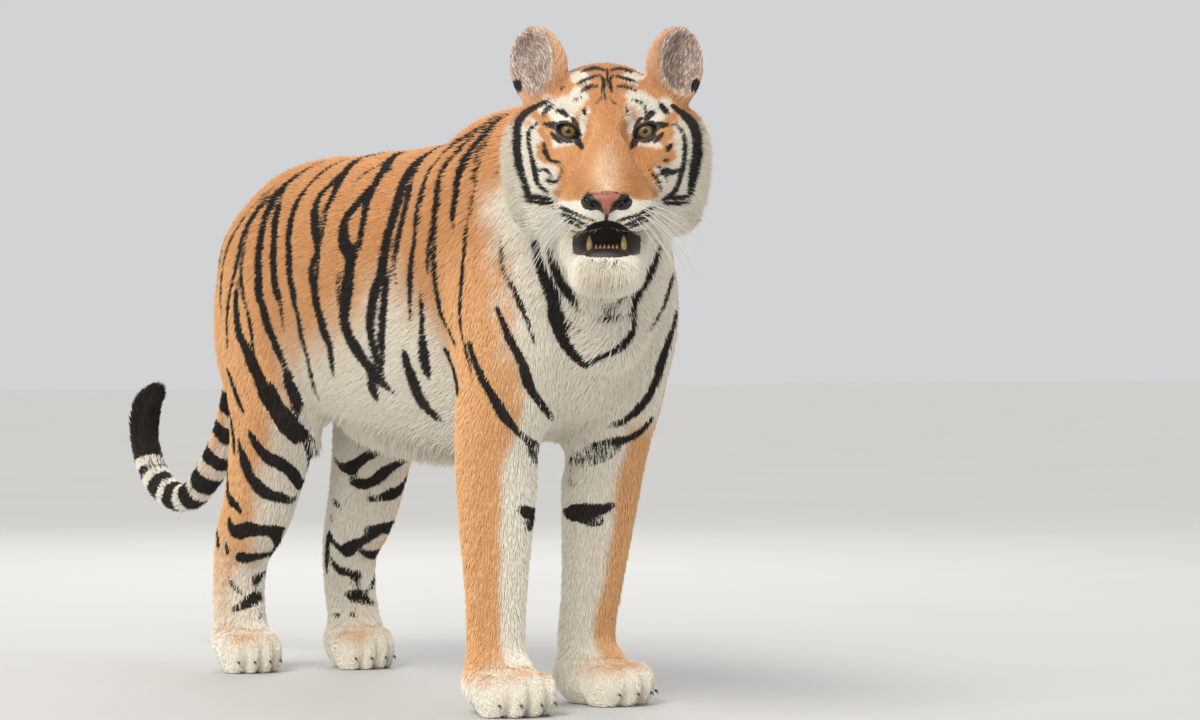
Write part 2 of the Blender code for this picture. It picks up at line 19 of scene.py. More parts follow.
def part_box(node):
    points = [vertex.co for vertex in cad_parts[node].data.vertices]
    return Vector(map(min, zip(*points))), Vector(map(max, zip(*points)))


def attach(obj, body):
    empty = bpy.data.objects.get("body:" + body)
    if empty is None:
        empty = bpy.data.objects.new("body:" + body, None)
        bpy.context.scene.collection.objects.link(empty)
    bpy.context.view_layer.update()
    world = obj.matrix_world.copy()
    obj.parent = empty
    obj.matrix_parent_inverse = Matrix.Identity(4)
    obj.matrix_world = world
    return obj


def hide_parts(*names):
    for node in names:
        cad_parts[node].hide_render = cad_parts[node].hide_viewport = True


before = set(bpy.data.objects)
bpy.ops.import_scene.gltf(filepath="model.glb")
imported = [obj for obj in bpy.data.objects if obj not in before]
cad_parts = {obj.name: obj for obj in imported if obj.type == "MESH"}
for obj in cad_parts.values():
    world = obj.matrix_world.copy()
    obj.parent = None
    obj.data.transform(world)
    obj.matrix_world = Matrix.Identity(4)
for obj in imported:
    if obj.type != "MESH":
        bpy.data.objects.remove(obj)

LOG = logging.getLogger("tiger")
Triple = tuple[float, float, float]
Arrays = tuple[np.ndarray, np.ndarray, np.ndarray]
Socket = bpy.types.NodeSocket
FAR = 0.15  # how far round itself a form is measured
FORWARD = np.array((0.0, -1.0, 0.0))
UPWARD = np.array((0.0, 0.0, 1.0))
SEED = 11  # of the random draws
CAST_ROUNDS = 45  # steps that a ray takes towards a form
CAST_ERROR = 0.004  # how near to its depth a ray has to end


# Numbers and frames


def turning(yaw: float = 0.0, pitch: float = 0.0, roll: float = 0.0) -> np.ndarray:
    """Makes a matrix that rolls about Y, then pitches about X, then yaws about Z.

    Args:
        yaw: degrees about Z.
        pitch: degrees about X.
        roll: degrees about Y.

    Returns:
        A 3 by 3 rotation.
    """
    return np.array(
        Matrix.Rotation(math.radians(yaw), 3, "Z")
        @ Matrix.Rotation(math.radians(pitch), 3, "X")
        @ Matrix.Rotation(math.radians(roll), 3, "Y")
    )


def smooth(low: float, high: float, value: np.ndarray) -> np.ndarray:
    """Rises gently from 0 where value is low to 1 where it is high.

    Args:
        low: value where the rise begins.
        high: value where it ends, which may be under low for a fall.
        value: the numbers to weigh.

    Returns:
        Shares from 0 to 1.
    """
    share = np.clip((value - low) / (high - low), 0.0, 1.0)
    return share * share * (3 - 2 * share)


def unit(vectors: np.ndarray) -> np.ndarray:
    """Vectors of length one in the same directions."""
    return vectors / np.maximum(np.linalg.norm(vectors, axis=-1, keepdims=True), 1e-9)


def wobble(points: np.ndarray, wavelength: float, seed: int) -> np.ndarray:
    """Gives a soft random swell of about -1 to 1 over space.

    Args:
        points: where to read it.
        wavelength: about how far apart its crests are, in metres.
        seed: picks the swell.

    Returns:
        One number for each point.
    """
    random = np.random.default_rng(seed)
    total = np.zeros(len(points))
    for _ in range(6):
        wave = unit(random.normal(size=3)) * 2 * math.pi / (wavelength * random.uniform(0.7, 1.5))
        total += np.sin(points @ wave + random.uniform(0, 6.3))
    return total / 3.0


def merged(first: np.ndarray, second: np.ndarray, width: float) -> np.ndarray:
    """The smaller of two distances, rounded over width where they are alike."""
    overlap = np.maximum(width - np.abs(first - second), 0.0) / width
    return np.minimum(first, second) - overlap * overlap * width / 4


def spline(rows: np.ndarray, steps: int) -> np.ndarray:
    """Runs a smooth line through rows of numbers.

    Args:
        rows: the rows that it goes through.
        steps: how many rows it gives from each one to the next.

    Returns:
        The rows of the line.
    """
    ends = np.vstack([2 * rows[0] - rows[1], rows, 2 * rows[-1] - rows[-2]])
    share = np.arange(steps)[:, None] / steps
    pieces = []
    for before, start, stop, after in zip(ends, ends[1:], ends[2:], ends[3:]):
        bend = 2 * before - 5 * start + 4 * stop - after
        twist = 3 * start - before - 3 * stop + after
        pieces.append(start + (stop - before) * share / 2 + bend * share**2 / 2 + twist * share**3 / 2)
    return np.vstack([*pieces, rows[-1:]])


def frame_at(at: Sequence[float], axes: np.ndarray) -> Matrix:
    """A frame with its origin at a place, turned by a rotation."""
    return Matrix.Translation(Vector(at)) @ Matrix(axes.tolist()).to_4x4()


# Soft forms


class Form:
    """A soft form with a box from low to high."""

    low: np.ndarray
    high: np.ndarray

    def measure(self, points: np.ndarray) -> np.ndarray:
        """About how far each point is from the surface, negative inside."""
        raise NotImplementedError

    def distance(self, points: np.ndarray) -> np.ndarray:
        """Measures points near the form and calls the rest far.

        Args:
            points: rows of x, y and z.

        Returns:
            Distances, negative inside and at most FAR.
        """
        near = ((points > self.low - FAR) & (points < self.high + FAR)).all(axis=1)
        result = np.full(len(points), FAR)
        if near.any():
            result[near] = np.minimum(self.measure(points[near]), FAR)
        return result

    def add_to(self, mesh: bmesh.types.BMesh, place: Matrix) -> None:
        """Adds a rough closed shape of the form to a mesh."""

    def add_hollows_to(self, mesh: bmesh.types.BMesh, place: Matrix) -> None:
        """Adds the rough shapes that are cut away from the form."""


Steps = list[tuple[Form, float]]


@dataclass
class Blob(Form):
    """An ellipsoid. A paired one stands on both sides of the plane x = 0."""

    centre: Triple
    radii: Triple
    tilt: Triple = (0, 0, 0)
    paired: bool = False

    def __post_init__(self) -> None:
        """Works out the axes and the box."""
        self.axes = turning(*self.tilt)
        self.low = np.array(self.centre, float) - max(self.radii)
        self.high = np.array(self.centre, float) + max(self.radii)
        if self.paired:
            self.low[0] = -self.high[0]

    def measure(self, points: np.ndarray) -> np.ndarray:
        """About how far each point is from the ellipsoid.

        Args:
            points: rows of x, y and z.

        Returns:
            Distances, negative inside.
        """
        if self.paired:
            points = np.column_stack([np.abs(points[:, 0]), points[:, 1:]])
        local = (points - np.array(self.centre)) @ self.axes
        radii = np.array(self.radii)
        reach = np.linalg.norm(local / radii, axis=1)
        slope = np.linalg.norm(local / radii**2, axis=1)
        return reach * (reach - 1) / np.maximum(slope, 1e-9)

    def add_to(self, mesh: bmesh.types.BMesh, place: Matrix) -> None:
        """Adds one ball, or one on each side.

        Args:
            mesh: the mesh to add to.
            place: the frame that the form stands in.
        """
        own = frame_at(self.centre, self.axes) @ Matrix.Diagonal((*self.radii, 1))
        for side in (1, -1) if self.paired else (1,):
            flip = Matrix.Diagonal((side, 1, 1, 1))
            add_ball(mesh, place @ flip @ own, 3)


def add_ball(mesh: bmesh.types.BMesh, place: Matrix, subdivisions: int) -> None:
    """Adds a ball of radius 1 by a matrix that may mirror it, its faces outward.

    Args:
        mesh: the mesh to add to.
        place: where the ball goes and how it is stretched.
        subdivisions: fineness of the ball.
    """
    ball = bmesh.ops.create_icosphere(mesh, subdivisions=subdivisions, radius=1, matrix=place)
    if place.determinant() < 0:
        faces = {face for vertex in ball["verts"] for face in vertex.link_faces}
        bmesh.ops.reverse_faces(mesh, faces=list(faces))


@dataclass
class Sweep(Form):
    """A limb-like form along a smooth route of stations (x, y, z, half width, front reach, back reach).

    front is the way that the front reach is measured in, and squareness is 2 for elliptic sections.
    """

    stations: Iterable[Sequence[float]]
    front: np.ndarray = field(default_factory=lambda: UPWARD)
    squareness: float = 2.0
    blunt: float = 1.0
    steps: int = 6  # between two stations

    def __post_init__(self) -> None:
        """Smooths the route and works out its box."""
        self.rows = spline(np.array(list(self.stations), float), self.steps)
        self.along = unit(np.gradient(self.rows[:, :3], axis=0))
        reach = self.rows[:, 3:].max()
        self.low = self.rows[:, :3].min(axis=0) - reach
        self.high = self.rows[:, :3].max(axis=0) + reach

    def nearest(self, points: np.ndarray) -> Arrays:
        """Finds the stretch of the route next to each point.

        Args:
            points: rows of x, y and z.

        Returns:
            The interpolated rows, the route's directions there, and the places along it counted in rows.
        """
        route = self.rows[:, :3]
        closest = np.argmin((route**2).sum(axis=1) - 2 * points @ route.T, axis=1)
        best = np.full(len(points), np.inf)
        place = np.zeros(len(points))
        for index in (np.maximum(closest - 1, 0), np.minimum(closest, len(route) - 2)):
            start, span = route[index], route[index + 1] - route[index]
            share = np.clip(((points - start) * span).sum(axis=1) / (span * span).sum(axis=1), 0, 1)
            gap = ((points - start - share[:, None] * span) ** 2).sum(axis=1)
            closer = gap < best
            best[closer] = gap[closer]
            place[closer] = (index + share)[closer]
        index = np.minimum(place.astype(int), len(self.rows) - 2)
        share = (place - index)[:, None]
        row = self.rows[index] * (1 - share) + self.rows[index + 1] * share
        along = self.along[index] * (1 - share) + self.along[index + 1] * share
        return row, unit(along), place

    def section_axes(self, along: np.ndarray) -> tuple[np.ndarray, np.ndarray]:
        """The sideways and forward directions of the sections that lie across along."""
        side = unit(np.cross(along, self.front))
        return side, np.cross(side, along)

    def measure(self, points: np.ndarray) -> np.ndarray:
        """About how far each point is from the swept surface.

        Args:
            points: rows of x, y and z.

        Returns:
            Distances, negative inside.
        """
        row, along, _ = self.nearest(points)
        side, fore = self.section_axes(along)
        offset = points - row[:, :3]
        local = np.stack([(offset * axis).sum(axis=1) for axis in (side, fore, along)], axis=1)
        depth = np.where(local[:, 1] > 0, row[:, 4], row[:, 5])
        length = self.blunt * np.minimum(row[:, 3], (row[:, 4] + row[:, 5]) / 2)
        radii = np.stack([row[:, 3], depth, length], axis=1)
        share = np.abs(local / radii)
        total = np.maximum((share**self.squareness).sum(axis=1), 1e-12)
        reach = total ** (1 / self.squareness)
        slope = np.linalg.norm(share ** (self.squareness - 1) / radii, axis=1) * reach / total
        return (reach - 1) / np.maximum(slope, 1e-6)

    def add_to(self, mesh: bmesh.types.BMesh, place: Matrix) -> None:
        """Adds a close row of flattened balls along the route.

        Args:
            mesh: the mesh to add to.
            place: the frame that the form stands in.
        """
        side, fore = self.section_axes(self.along)
        for row, *axes in zip(self.rows, side, fore, self.along):
            length = self.blunt * min(row[3], (row[4] + row[5]) / 2)
            middle = Vector(row[:3] + axes[1] * (row[4] - row[5]) / 2)
            turned = Matrix(np.array(axes).T.tolist()).to_4x4()
            size = Matrix.Diagonal((row[3], (row[4] + row[5]) / 2, length, 1))
            add_ball(mesh, place @ Matrix.Translation(middle) @ turned @ size, 3)


@dataclass
class Mass(Form):
    """Forms fused in order. Each step is (form, blend width), and hollows are cut away over their width."""

    steps: Steps
    hollows: Steps = field(default_factory=list)

    def __post_init__(self) -> None:
        """Takes the box round all its forms."""
        self.low = np.min([form.low for form, _ in self.steps], axis=0)
        self.high = np.max([form.high for form, _ in self.steps], axis=0)

    def measure(self, points: np.ndarray) -> np.ndarray:
        """About how far each point is from the fused surface.

        Args:
            points: rows of x, y and z.

        Returns:
            Distances, negative inside.
        """
        result = np.full(len(points), FAR)
        for form, width in self.steps:
            result = merged(result, form.distance(points), width)
        for form, width in self.hollows:
            result = -merged(-result, form.distance(points), width)
        return result

    def add_to(self, mesh: bmesh.types.BMesh, place: Matrix) -> None:
        """Adds every form of the mass."""
        for form, _ in self.steps:
            form.add_to(mesh, place)

    def add_hollows_to(self, mesh: bmesh.types.BMesh, place: Matrix) -> None:
        """Adds its own hollows and those of its forms.

        Args:
            mesh: the mesh to add to.
            place: the frame that the form stands in.
        """
        for form, _ in self.steps:
            form.add_hollows_to(mesh, place)
        for form, _ in self.hollows:
            form.add_to(mesh, place)


@dataclass
class Placed(Form):
    """A form in a frame of its own, turned and set down at a place."""

    form: Form
    at: Triple
    yaw: float

    def __post_init__(self) -> None:
        """Works out the frame and the box."""
        self.axes = turning(self.yaw)
        corners = np.array([(x, y, z) for x in (0, 1) for y in (0, 1) for z in (0, 1)])
        corners = self.out(self.form.low + corners * (self.form.high - self.form.low))
        self.low, self.high = corners.min(axis=0), corners.max(axis=0)
        self.frame = frame_at(self.at, self.axes)

    def into(self, points: np.ndarray) -> np.ndarray:
        """Points of the animal's frame in this one."""
        return (points - np.array(self.at)) @ self.axes

    def out(self, points: np.ndarray) -> np.ndarray:
        """Points of this frame in the animal's."""
        return np.array(self.at) + np.asarray(points) @ self.axes.T

    def measure(self, points: np.ndarray) -> np.ndarray:
        """About how far each point is from the placed form."""
        return self.form.distance(self.into(points))

    def add_to(self, mesh: bmesh.types.BMesh, place: Matrix) -> None:
        """Adds the form in its place."""
        self.form.add_to(mesh, place @ self.frame)

    def add_hollows_to(self, mesh: bmesh.types.BMesh, place: Matrix) -> None:
        """Adds the form's hollows in their places."""
        self.form.add_hollows_to(mesh, place @ self.frame)


# The animal


class Leg(Enum):
    """The four legs, by the start of their nodes' names."""

    FRONT_RIGHT = "front_right"
    FRONT_LEFT = "front_left"
    HIND_RIGHT = "hind_right"
    HIND_LEFT = "hind_left"

    @property
    def side(self) -> int:
        """1 on the animal's left and -1 on its right."""
        return -1 if self.value.endswith("right") else 1

    @property
    def fore(self) -> bool:
        """Whether it is a front leg."""
        return self.value.startswith("front")


@dataclass(frozen=True)
class Stance:
    """How a leg stands: its paw's place, how far that points outward, and the lean of the leg above it."""

    at: tuple[float, float]
    toe_out: float
    lean: tuple[float, float]
    lean_from: float
    width: float
    length: float


@dataclass
class Anatomy:
    """The forms of the whole animal, from the same stations as the solids."""

    head_place: Triple = (-0.142, -0.830, 0.912)  # halfway between the pupils
    head_yaw: float = -31.1
    eye_spread: float = 0.058
    eye_radius: float = 0.0190
    eye_depth: float = 0.0145
    eye_slant: float = 24
    toes: tuple = ((-0.37, -0.21), (-0.135, -0.30), (0.135, -0.30), (0.37, -0.21))  # in widths and lengths
    trunk_stations: tuple = (  # y, height of the widest line, half width, rise above it, drop below it
        (-0.60, 0.69, 0.080, 0.140, 0.150),
        (-0.50, 0.69, 0.128, 0.225, 0.218),
        (-0.38, 0.68, 0.152, 0.265, 0.245),
        (-0.22, 0.66, 0.172, 0.272, 0.258),
        (-0.02, 0.65, 0.185, 0.270, 0.250),
        (0.17, 0.66, 0.180, 0.260, 0.220),
        (0.33, 0.69, 0.165, 0.228, 0.185),
        (0.45, 0.69, 0.148, 0.203, 0.170),
        (0.56, 0.68, 0.106, 0.142, 0.145),
    )
    neck_stations: tuple = (  # x, y, z, half width, above, below
        (-0.005, -0.36, 0.77, 0.150, 0.185, 0.190),
        (-0.020, -0.50, 0.80, 0.135, 0.165, 0.200),
        (-0.055, -0.63, 0.84, 0.122, 0.140, 0.180),
        (-0.095, -0.715, 0.88, 0.110, 0.115, 0.165),
    )
    foreleg_stations: tuple = (  # of the left leg: x, y, z, half width, forward, backward
        (0.070, -0.400, 0.82, 0.055, 0.100, 0.110),
        (0.099, -0.470, 0.67, 0.072, 0.125, 0.130),
        (0.106, -0.455, 0.54, 0.071, 0.105, 0.095),
        (0.112, -0.432, 0.43, 0.068, 0.078, 0.070),
        (0.114, -0.425, 0.32, 0.062, 0.062, 0.062),
        (0.116, -0.420, 0.20, 0.051, 0.050, 0.052),
        (0.116, -0.415, 0.12, 0.048, 0.047, 0.050),
        (0.118, -0.420, 0.07, 0.052, 0.050, 0.050),
    )
    hindleg_stations: tuple = (
        (0.070, 0.400, 0.74, 0.085, 0.140, 0.142),
        (0.098, 0.365, 0.62, 0.090, 0.160, 0.165),
        (0.105, 0.345, 0.51, 0.080, 0.115, 0.150),
        (0.102, 0.385, 0.41, 0.069, 0.080, 0.104),
        (0.102, 0.450, 0.31, 0.057, 0.092, 0.068),
        (0.104, 0.510, 0.225, 0.048, 0.070, 0.052),
        (0.106, 0.522, 0.15, 0.046, 0.053, 0.048),
        (0.108, 0.512, 0.08, 0.047, 0.046, 0.046),
    )
    tail_stations: tuple = (  # x, y, z, radius
        (0.000, 0.540, 0.790, 0.054),
        (0.000, 0.635, 0.735, 0.044),
        (0.000, 0.692, 0.630, 0.036),
        (0.000, 0.722, 0.500, 0.032),
        (-0.004, 0.785, 0.390, 0.030),
        (-0.018, 0.885, 0.300, 0.028),
        (-0.034, 0.980, 0.312, 0.028),
        (-0.044, 1.036, 0.388, 0.028),
        (-0.046, 1.030, 0.458, 0.029),
        (-0.044, 0.995, 0.490, 0.022),
    )
    stances: dict = field(
        default_factory=lambda: {
            Leg.FRONT_RIGHT: Stance((-0.106, -0.466), 3, (0.010, -0.015), 0.60, 0.124, 0.155),
            Leg.FRONT_LEFT: Stance((0.124, -0.380), 22, (-0.004, 0.072), 0.60, 0.124, 0.155),
            Leg.HIND_RIGHT: Stance((-0.100, 0.492), 0, (0.008, 0.000), 0.60, 0.104, 0.130),
            Leg.HIND_LEFT: Stance((0.110, 0.462), 6, (0.006, -0.032), 0.47, 0.104, 0.130),
        }
    )

    def __post_init__(self) -> None:
        """Builds the forms that are asked for often."""
        self.trunk = Sweep([(0, *row) for row in self.trunk_stations], squareness=2.15, blunt=0.9)
        self.neck = Sweep(self.neck_stations)
        self.tail = Sweep([(x, y, z, r, r, r) for x, y, z, r in self.tail_stations])
        self.legs = {name: self.leg(name) for name in Leg}
        self.paws = {name: self.paw(name) for name in Leg}
        self.head = self.in_head(self.head_form())
        limbs = [(form, 0.06) for form in self.legs.values()]
        feet = [(form, 0.035) for form in self.paws.values()]
        self.torso = Mass([(self.trunk, 0.01), (self.neck, 0.10), *limbs, *feet, (self.tail, 0.03)])
        self.whole = Mass([*self.torso.steps, (self.head, 0.05)])

    def leg(self, name: Leg) -> Sweep:
        """Builds a leg, its lower stations moved to where its paw stands.

        Args:
            name: which leg.

        Returns:
            The leg's form without its paw.
        """
        stance = self.stances[name]
        rows = []
        for x, y, z, *radii in self.foreleg_stations if name.fore else self.hindleg_stations:
            lean = min(1.0, max(0.0, (stance.lean_from - z) / (stance.lean_from - 0.1)))
            rows.append((name.side * x + stance.lean[0] * lean, y + stance.lean[1] * lean, z, *radii))
        return Sweep(rows, FORWARD, squareness=2.15)

    def paw(self, name: Leg) -> Placed:
        """Builds a pad with four toes.

        Args:
            name: which leg's paw.

        Returns:
            The paw where it stands.
        """
        stance = self.stances[name]
        width, length = stance.width, stance.length
        steps: Steps = [(Blob((0, 0.09 * length, 0.040), (0.46 * width, 0.475 * length, 0.044)), 0.01)]
        for across, ahead in self.toes:
            middle, size = (across * width, ahead * length, 0.034), (0.17 * width, 0.25 * length, 0.036)
            steps.append((Blob(middle, size, (-across * 28, 0, 0)), 0.012))
        return Placed(Mass(steps), (*stance.at, 0), name.side * stance.toe_out)

    def in_head(self, form: Form) -> Placed:
        """A form of the head's own frame, in the animal's."""
        return Placed(form, self.head_place, self.head_yaw)

    def cranium(self) -> Steps:
        """The head's bones and flesh without muzzle, jaw and ears.

        Returns:
            The forms in the head's frame, with their blend widths.
        """
        bridge = Sweep(
            [
                (0, 0.020, 0.012, 0.030, 0.038, 0.05),
                (0, -0.034, -0.030, 0.033, 0.036, 0.05),
                (0, -0.074, -0.062, 0.038, 0.033, 0.05),
                (0, -0.108, -0.090, 0.040, 0.028, 0.04),
            ],
            squareness=2.5,
        )
        return [
            (Blob((0, 0.100, 0.016), (0.100, 0.112, 0.092)), 0.01),
            (Blob((0, 0.042, 0.022), (0.080, 0.066, 0.056)), 0.03),
            (bridge, 0.03),
            (Blob((0.082, 0.046, -0.022), (0.050, 0.058, 0.060), (0, 0, 10), paired=True), 0.035),
            (Blob((0.080, 0.050, -0.090), (0.056, 0.060, 0.066), paired=True), 0.035),
            (Blob((0.058, 0.004, -0.074), (0.042, 0.055, 0.046), (14, 0, 0), paired=True), 0.035),
            (Blob((0.112, 0.075, -0.055), (0.042, 0.042, 0.090), (20, 0, 8), paired=True), 0.045),
        ]

    def muzzle(self) -> Steps:
        """The muzzle with a whisker pad on each side.

        Returns:
            The forms in the head's frame, with their blend widths.
        """
        return [
            (Blob((0, -0.062, -0.100), (0.058, 0.070, 0.046)), 0.030),
            (Blob((0.037, -0.082, -0.124), (0.039, 0.050, 0.035), (-12, 0, -12), paired=True), 0.022),
            (Blob((0, -0.112, -0.108), (0.034, 0.027, 0.020)), 0.010),
        ]

    def jaw(self) -> Steps:
        """The lower jaw and chin.

        Returns:
            The form in the head's frame, with its blend width.
        """
        bone = Sweep(
            [
                (0, 0.050, -0.140, 0.074, 0.040, 0.050),
                (0, -0.005, -0.185, 0.060, 0.030, 0.044),
                (0, -0.055, -0.204, 0.052, 0.032, 0.040),
                (0, -0.078, -0.206, 0.046, 0.034, 0.036),
            ],
            squareness=2.4,
        )
        return [(bone, 0.014)]

    def ear(self) -> tuple[Form, Form]:
        """The outer form of both ears and the hollow in each.

        Returns:
            The outer form and the hollow, in the head's frame.
        """
        tilt = (34, -10, 20)
        middle = np.array((0.103, 0.066, 0.099))
        inside = middle + turning(*tilt) @ (0, -0.024, 0.004)
        outer = Blob(tuple(middle), (0.046, 0.034, 0.066), tilt, paired=True)
        return outer, Blob(tuple(inside), (0.036, 0.034, 0.054), tilt, paired=True)

    def mouth(self) -> Steps:
        """The opening between the lips, whose upper edge is an arch, and the cleft under the nose.

        Returns:
            The hollows in the head's frame, with their blend widths.
        """
        return [
            (Blob((0, -0.080, -0.163), (0.042, 0.062, 0.011)), 0.006),
            (Blob((0, -0.110, -0.156), (0.028, 0.040, 0.016)), 0.006),
            (Blob((0, -0.140, -0.136), (0.003, 0.012, 0.016)), 0.006),
        ]

    def head_form(self) -> Mass:
        """Fuses the whole head in its own frame.

        Returns:
            The head with its sockets, lids and brows.
        """
        spread = self.eye_spread
        outer, inner = self.ear()
        shell = Mass([(outer, 0.01)], [(inner, 0.006)])
        steps = [*self.cranium(), *self.muzzle(), *self.jaw(), (shell, 0.018)]
        socket = Blob((spread - 0.004, -0.034, -0.003), (0.031, 0.037, 0.025), paired=True)
        carved = Mass(steps, [*self.mouth(), (socket, 0.014)])
        lid_radii = (0.025, self.eye_radius + 0.0035, 0.021)
        lids = Blob((spread, self.eye_depth, 0.0), lid_radii, (8, 0, -20), paired=True)
        brow = Blob((spread, 0.0125, 0.0125), (0.026, 0.0235, 0.008), (8, 0, -22), paired=True)
        bag = Blob((spread, 0.0140, -0.0155), (0.022, 0.0210, 0.005), (8, 0, -24), paired=True)
        return Mass([(carved, 0.01), (lids, 0.014), (brow, 0.006), (bag, 0.005)])


# The lie and length of the hair


class Zone(Enum):
    """The zones of the coat, each with hair of its own."""

    TRUNK = "trunk"
    NECK = "neck"
    FORELEG = "foreleg"
    HINDLEG = "hindleg"
    PAW = "paw"
    TAIL = "tail"
    HEAD = "head"
    EAR = "ear"


Shares = dict[Zone, np.ndarray]


@dataclass(frozen=True)
class Fur:
    """The hair of a zone: how deep the skin lies under it, and the size, lift and number of the tufts.

    The lift is in degrees, and the number is that on a square metre.
    """

    depth: float
    length: float
    width: float
    lift: float
    density: float


@dataclass(frozen=True)
class Fringe:
    """Longer hair round a form of the animal's frame, which leans to a direction of its own."""

    form: Form
    length: float
    lift: float
    way: Triple
    pull: float  # share of the lie that comes from way
    reach: float = 0.03  # how far out of the form it fades


@dataclass
class Pelage:
    """Which hair grows where and which way it lies."""

    anatomy: Anatomy
    soft: float = 0.018  # width of the change from one zone to the next
    furs: dict = field(
        default_factory=lambda: {
            Zone.TRUNK: Fur(0.0070, 0.0175, 0.0029, 18, 88_000),
            Zone.NECK: Fur(0.0080, 0.022, 0.0031, 19, 92_000),
            Zone.FORELEG: Fur(0.0055, 0.0135, 0.0025, 17, 100_000),
            Zone.HINDLEG: Fur(0.0055, 0.0145, 0.0026, 17, 100_000),
            Zone.PAW: Fur(0.0030, 0.0095, 0.0021, 15, 150_000),
            Zone.TAIL: Fur(0.0060, 0.0165, 0.0028, 18, 110_000),
            Zone.HEAD: Fur(0.0030, 0.0085, 0.0016, 17, 280_000),
            Zone.EAR: Fur(0.0012, 0.0075, 0.0016, 15, 250_000),
        }
    )

    def __post_init__(self) -> None:
        """Collects the forms that the zones and fringes follow."""
        body = self.anatomy
        legs, paws = list(body.legs.values()), list(body.paws.values())
        flesh = [*body.cranium(), *body.muzzle(), *body.jaw()]
        self.forms = {
            Zone.TRUNK: body.trunk,
            Zone.NECK: body.neck,
            Zone.FORELEG: Mass([(form, 0.01) for form in legs[:2]]),
            Zone.HINDLEG: Mass([(form, 0.01) for form in legs[2:]]),
            Zone.PAW: Mass([(form, 0.01) for form in paws]),
            Zone.TAIL: body.tail,
            Zone.HEAD: body.in_head(Mass(flesh)),
            Zone.EAR: body.in_head(Mass([(body.ear()[0], 0.01)])),
        }
        lids = Blob((body.eye_spread, 0, 0), (0.027, 0.030, 0.020), paired=True)
        self.lids = body.in_head(Mass([(lids, 0.01)]))
        down = (0.0, 0.0, -1.0)
        cheeks = Blob((0.128, 0.080, -0.078), (0.045, 0.055, 0.090), (20, 0, 8), paired=True)
        inner_ears = Blob((0.098, 0.040, 0.098), (0.040, 0.030, 0.050), (34, -10, 20), paired=True)
        chin = Blob((0, -0.055, -0.225), (0.055, 0.055, 0.022))
        self.fringes = [
            Fringe(Blob((0, 0.03, 0.435), (0.10, 0.30, 0.06)), 0.048, 22, (0.0, 0.35, -1.0), 0.8),
            Fringe(Blob((0.0, -0.40, 0.43), (0.09, 0.14, 0.05)), 0.017, 16, down, 0.6),
            Fringe(body.in_head(Mass([(cheeks, 0.01)])), 0.023, 18, (0.0, 0.25, -0.8), 0.35),
            Fringe(Blob((-0.10, -0.74, 0.72), (0.09, 0.09, 0.07)), 0.026, 17, down, 0.5),
            Fringe(body.in_head(Mass([(inner_ears, 0.01)])), 0.012, 20, (0.0, 0.0, 0.6), 0.2, 0.01),
            Fringe(body.in_head(chin), 0.018, 24, (0, 0.3, -1), 0.5),
        ]

    def shares(self, points: np.ndarray) -> Shares:
        """Weighs the zones at each point.

        Args:
            points: rows of x, y and z near the skin.

        Returns:
            A share from 0 to 1 for each zone; they add up to 1.
        """
        distances = {zone: form.distance(points) for zone, form in self.forms.items()}
        nearest = np.min(list(distances.values()), axis=0)
        weights = {zone: np.exp((nearest - value) / self.soft * 2.5) for zone, value in distances.items()}
        total = np.sum(list(weights.values()), axis=0)
        return {zone: weight / total for zone, weight in weights.items()}

    def blend(self, shares: Shares, name: str) -> np.ndarray:
        """One size of the hair, mixed by the zones' shares."""
        return sum(shares[zone] * getattr(fur, name) for zone, fur in self.furs.items())

    def depth(self, points: np.ndarray) -> np.ndarray:
        """How deep the skin lies under the outline that the solids give.

        Args:
            points: rows of x, y and z near the skin.

        Returns:
            Depths in metres.
        """
        depth = self.blend(self.shares(points), "depth")
        for fringe in self.fringes[:3]:
            depth += 0.004 * smooth(fringe.reach, 0.0, fringe.form.distance(points))
        depth *= 1 - 0.75 * smooth(0.006, 0.0, self.lids.distance(points))
        return depth * smooth(-0.002, 0.022, points[:, 2])

    def lie(self, points: np.ndarray, normals: np.ndarray, shares: Shares) -> np.ndarray:
        """Finds which way the hair points along the skin.

        Args:
            points: rows of x, y and z on the skin.
            normals: the skin's outward directions there.
            shares: the zones' shares there.

        Returns:
            Unit vectors in the skin's planes.
        """
        body = self.anatomy
        side = smooth(0.03, 0.14, np.abs(points[:, 0]))[:, None]
        ways = {
            Zone.TRUNK: np.array((0, 1.0, 0.0)) + side * np.array((0, 0, -0.55)),
            Zone.NECK: np.array((0.1, 0.75, -0.75)),
            Zone.FORELEG: np.array((0, 0.12, -1.0)),
            Zone.HINDLEG: np.array((0, 0.30, -1.0)),
            Zone.PAW: np.array((0, -0.75, -0.55)),
            Zone.TAIL: body.tail.nearest(points)[1],
        }
        local = body.head.into(points)
        spread = unit(local - np.array((0, -0.150, -0.085)))
        muzzle = smooth(-0.095, -0.125, local[:, 2])[:, None]
        droop = -0.25 - 0.95 * smooth(-0.140, -0.165, local[:, 2])
        drooping = np.column_stack([local[:, 0] * 16, local[:, 1] + 0.25, droop])
        spread = spread * (1 - muzzle) + muzzle * unit(drooping)
        ways[Zone.HEAD] = spread @ body.head.axes.T
        away = np.sign(local[:, :1]) * np.array((0.35, 0, 0)) + np.array((0, 0.1, 1))
        ways[Zone.EAR] = away @ body.head.axes.T
        lie = sum(shares[zone][:, None] * unit(way) for zone, way in ways.items())
        for fringe in self.fringes:
            share = fringe.pull * smooth(fringe.reach, 0.0, fringe.form.distance(points))[:, None]
            lie = lie * (1 - share) + share * unit(np.array(fringe.way))
        lie -= (lie * normals).sum(axis=1, keepdims=True) * normals
        return unit(lie)

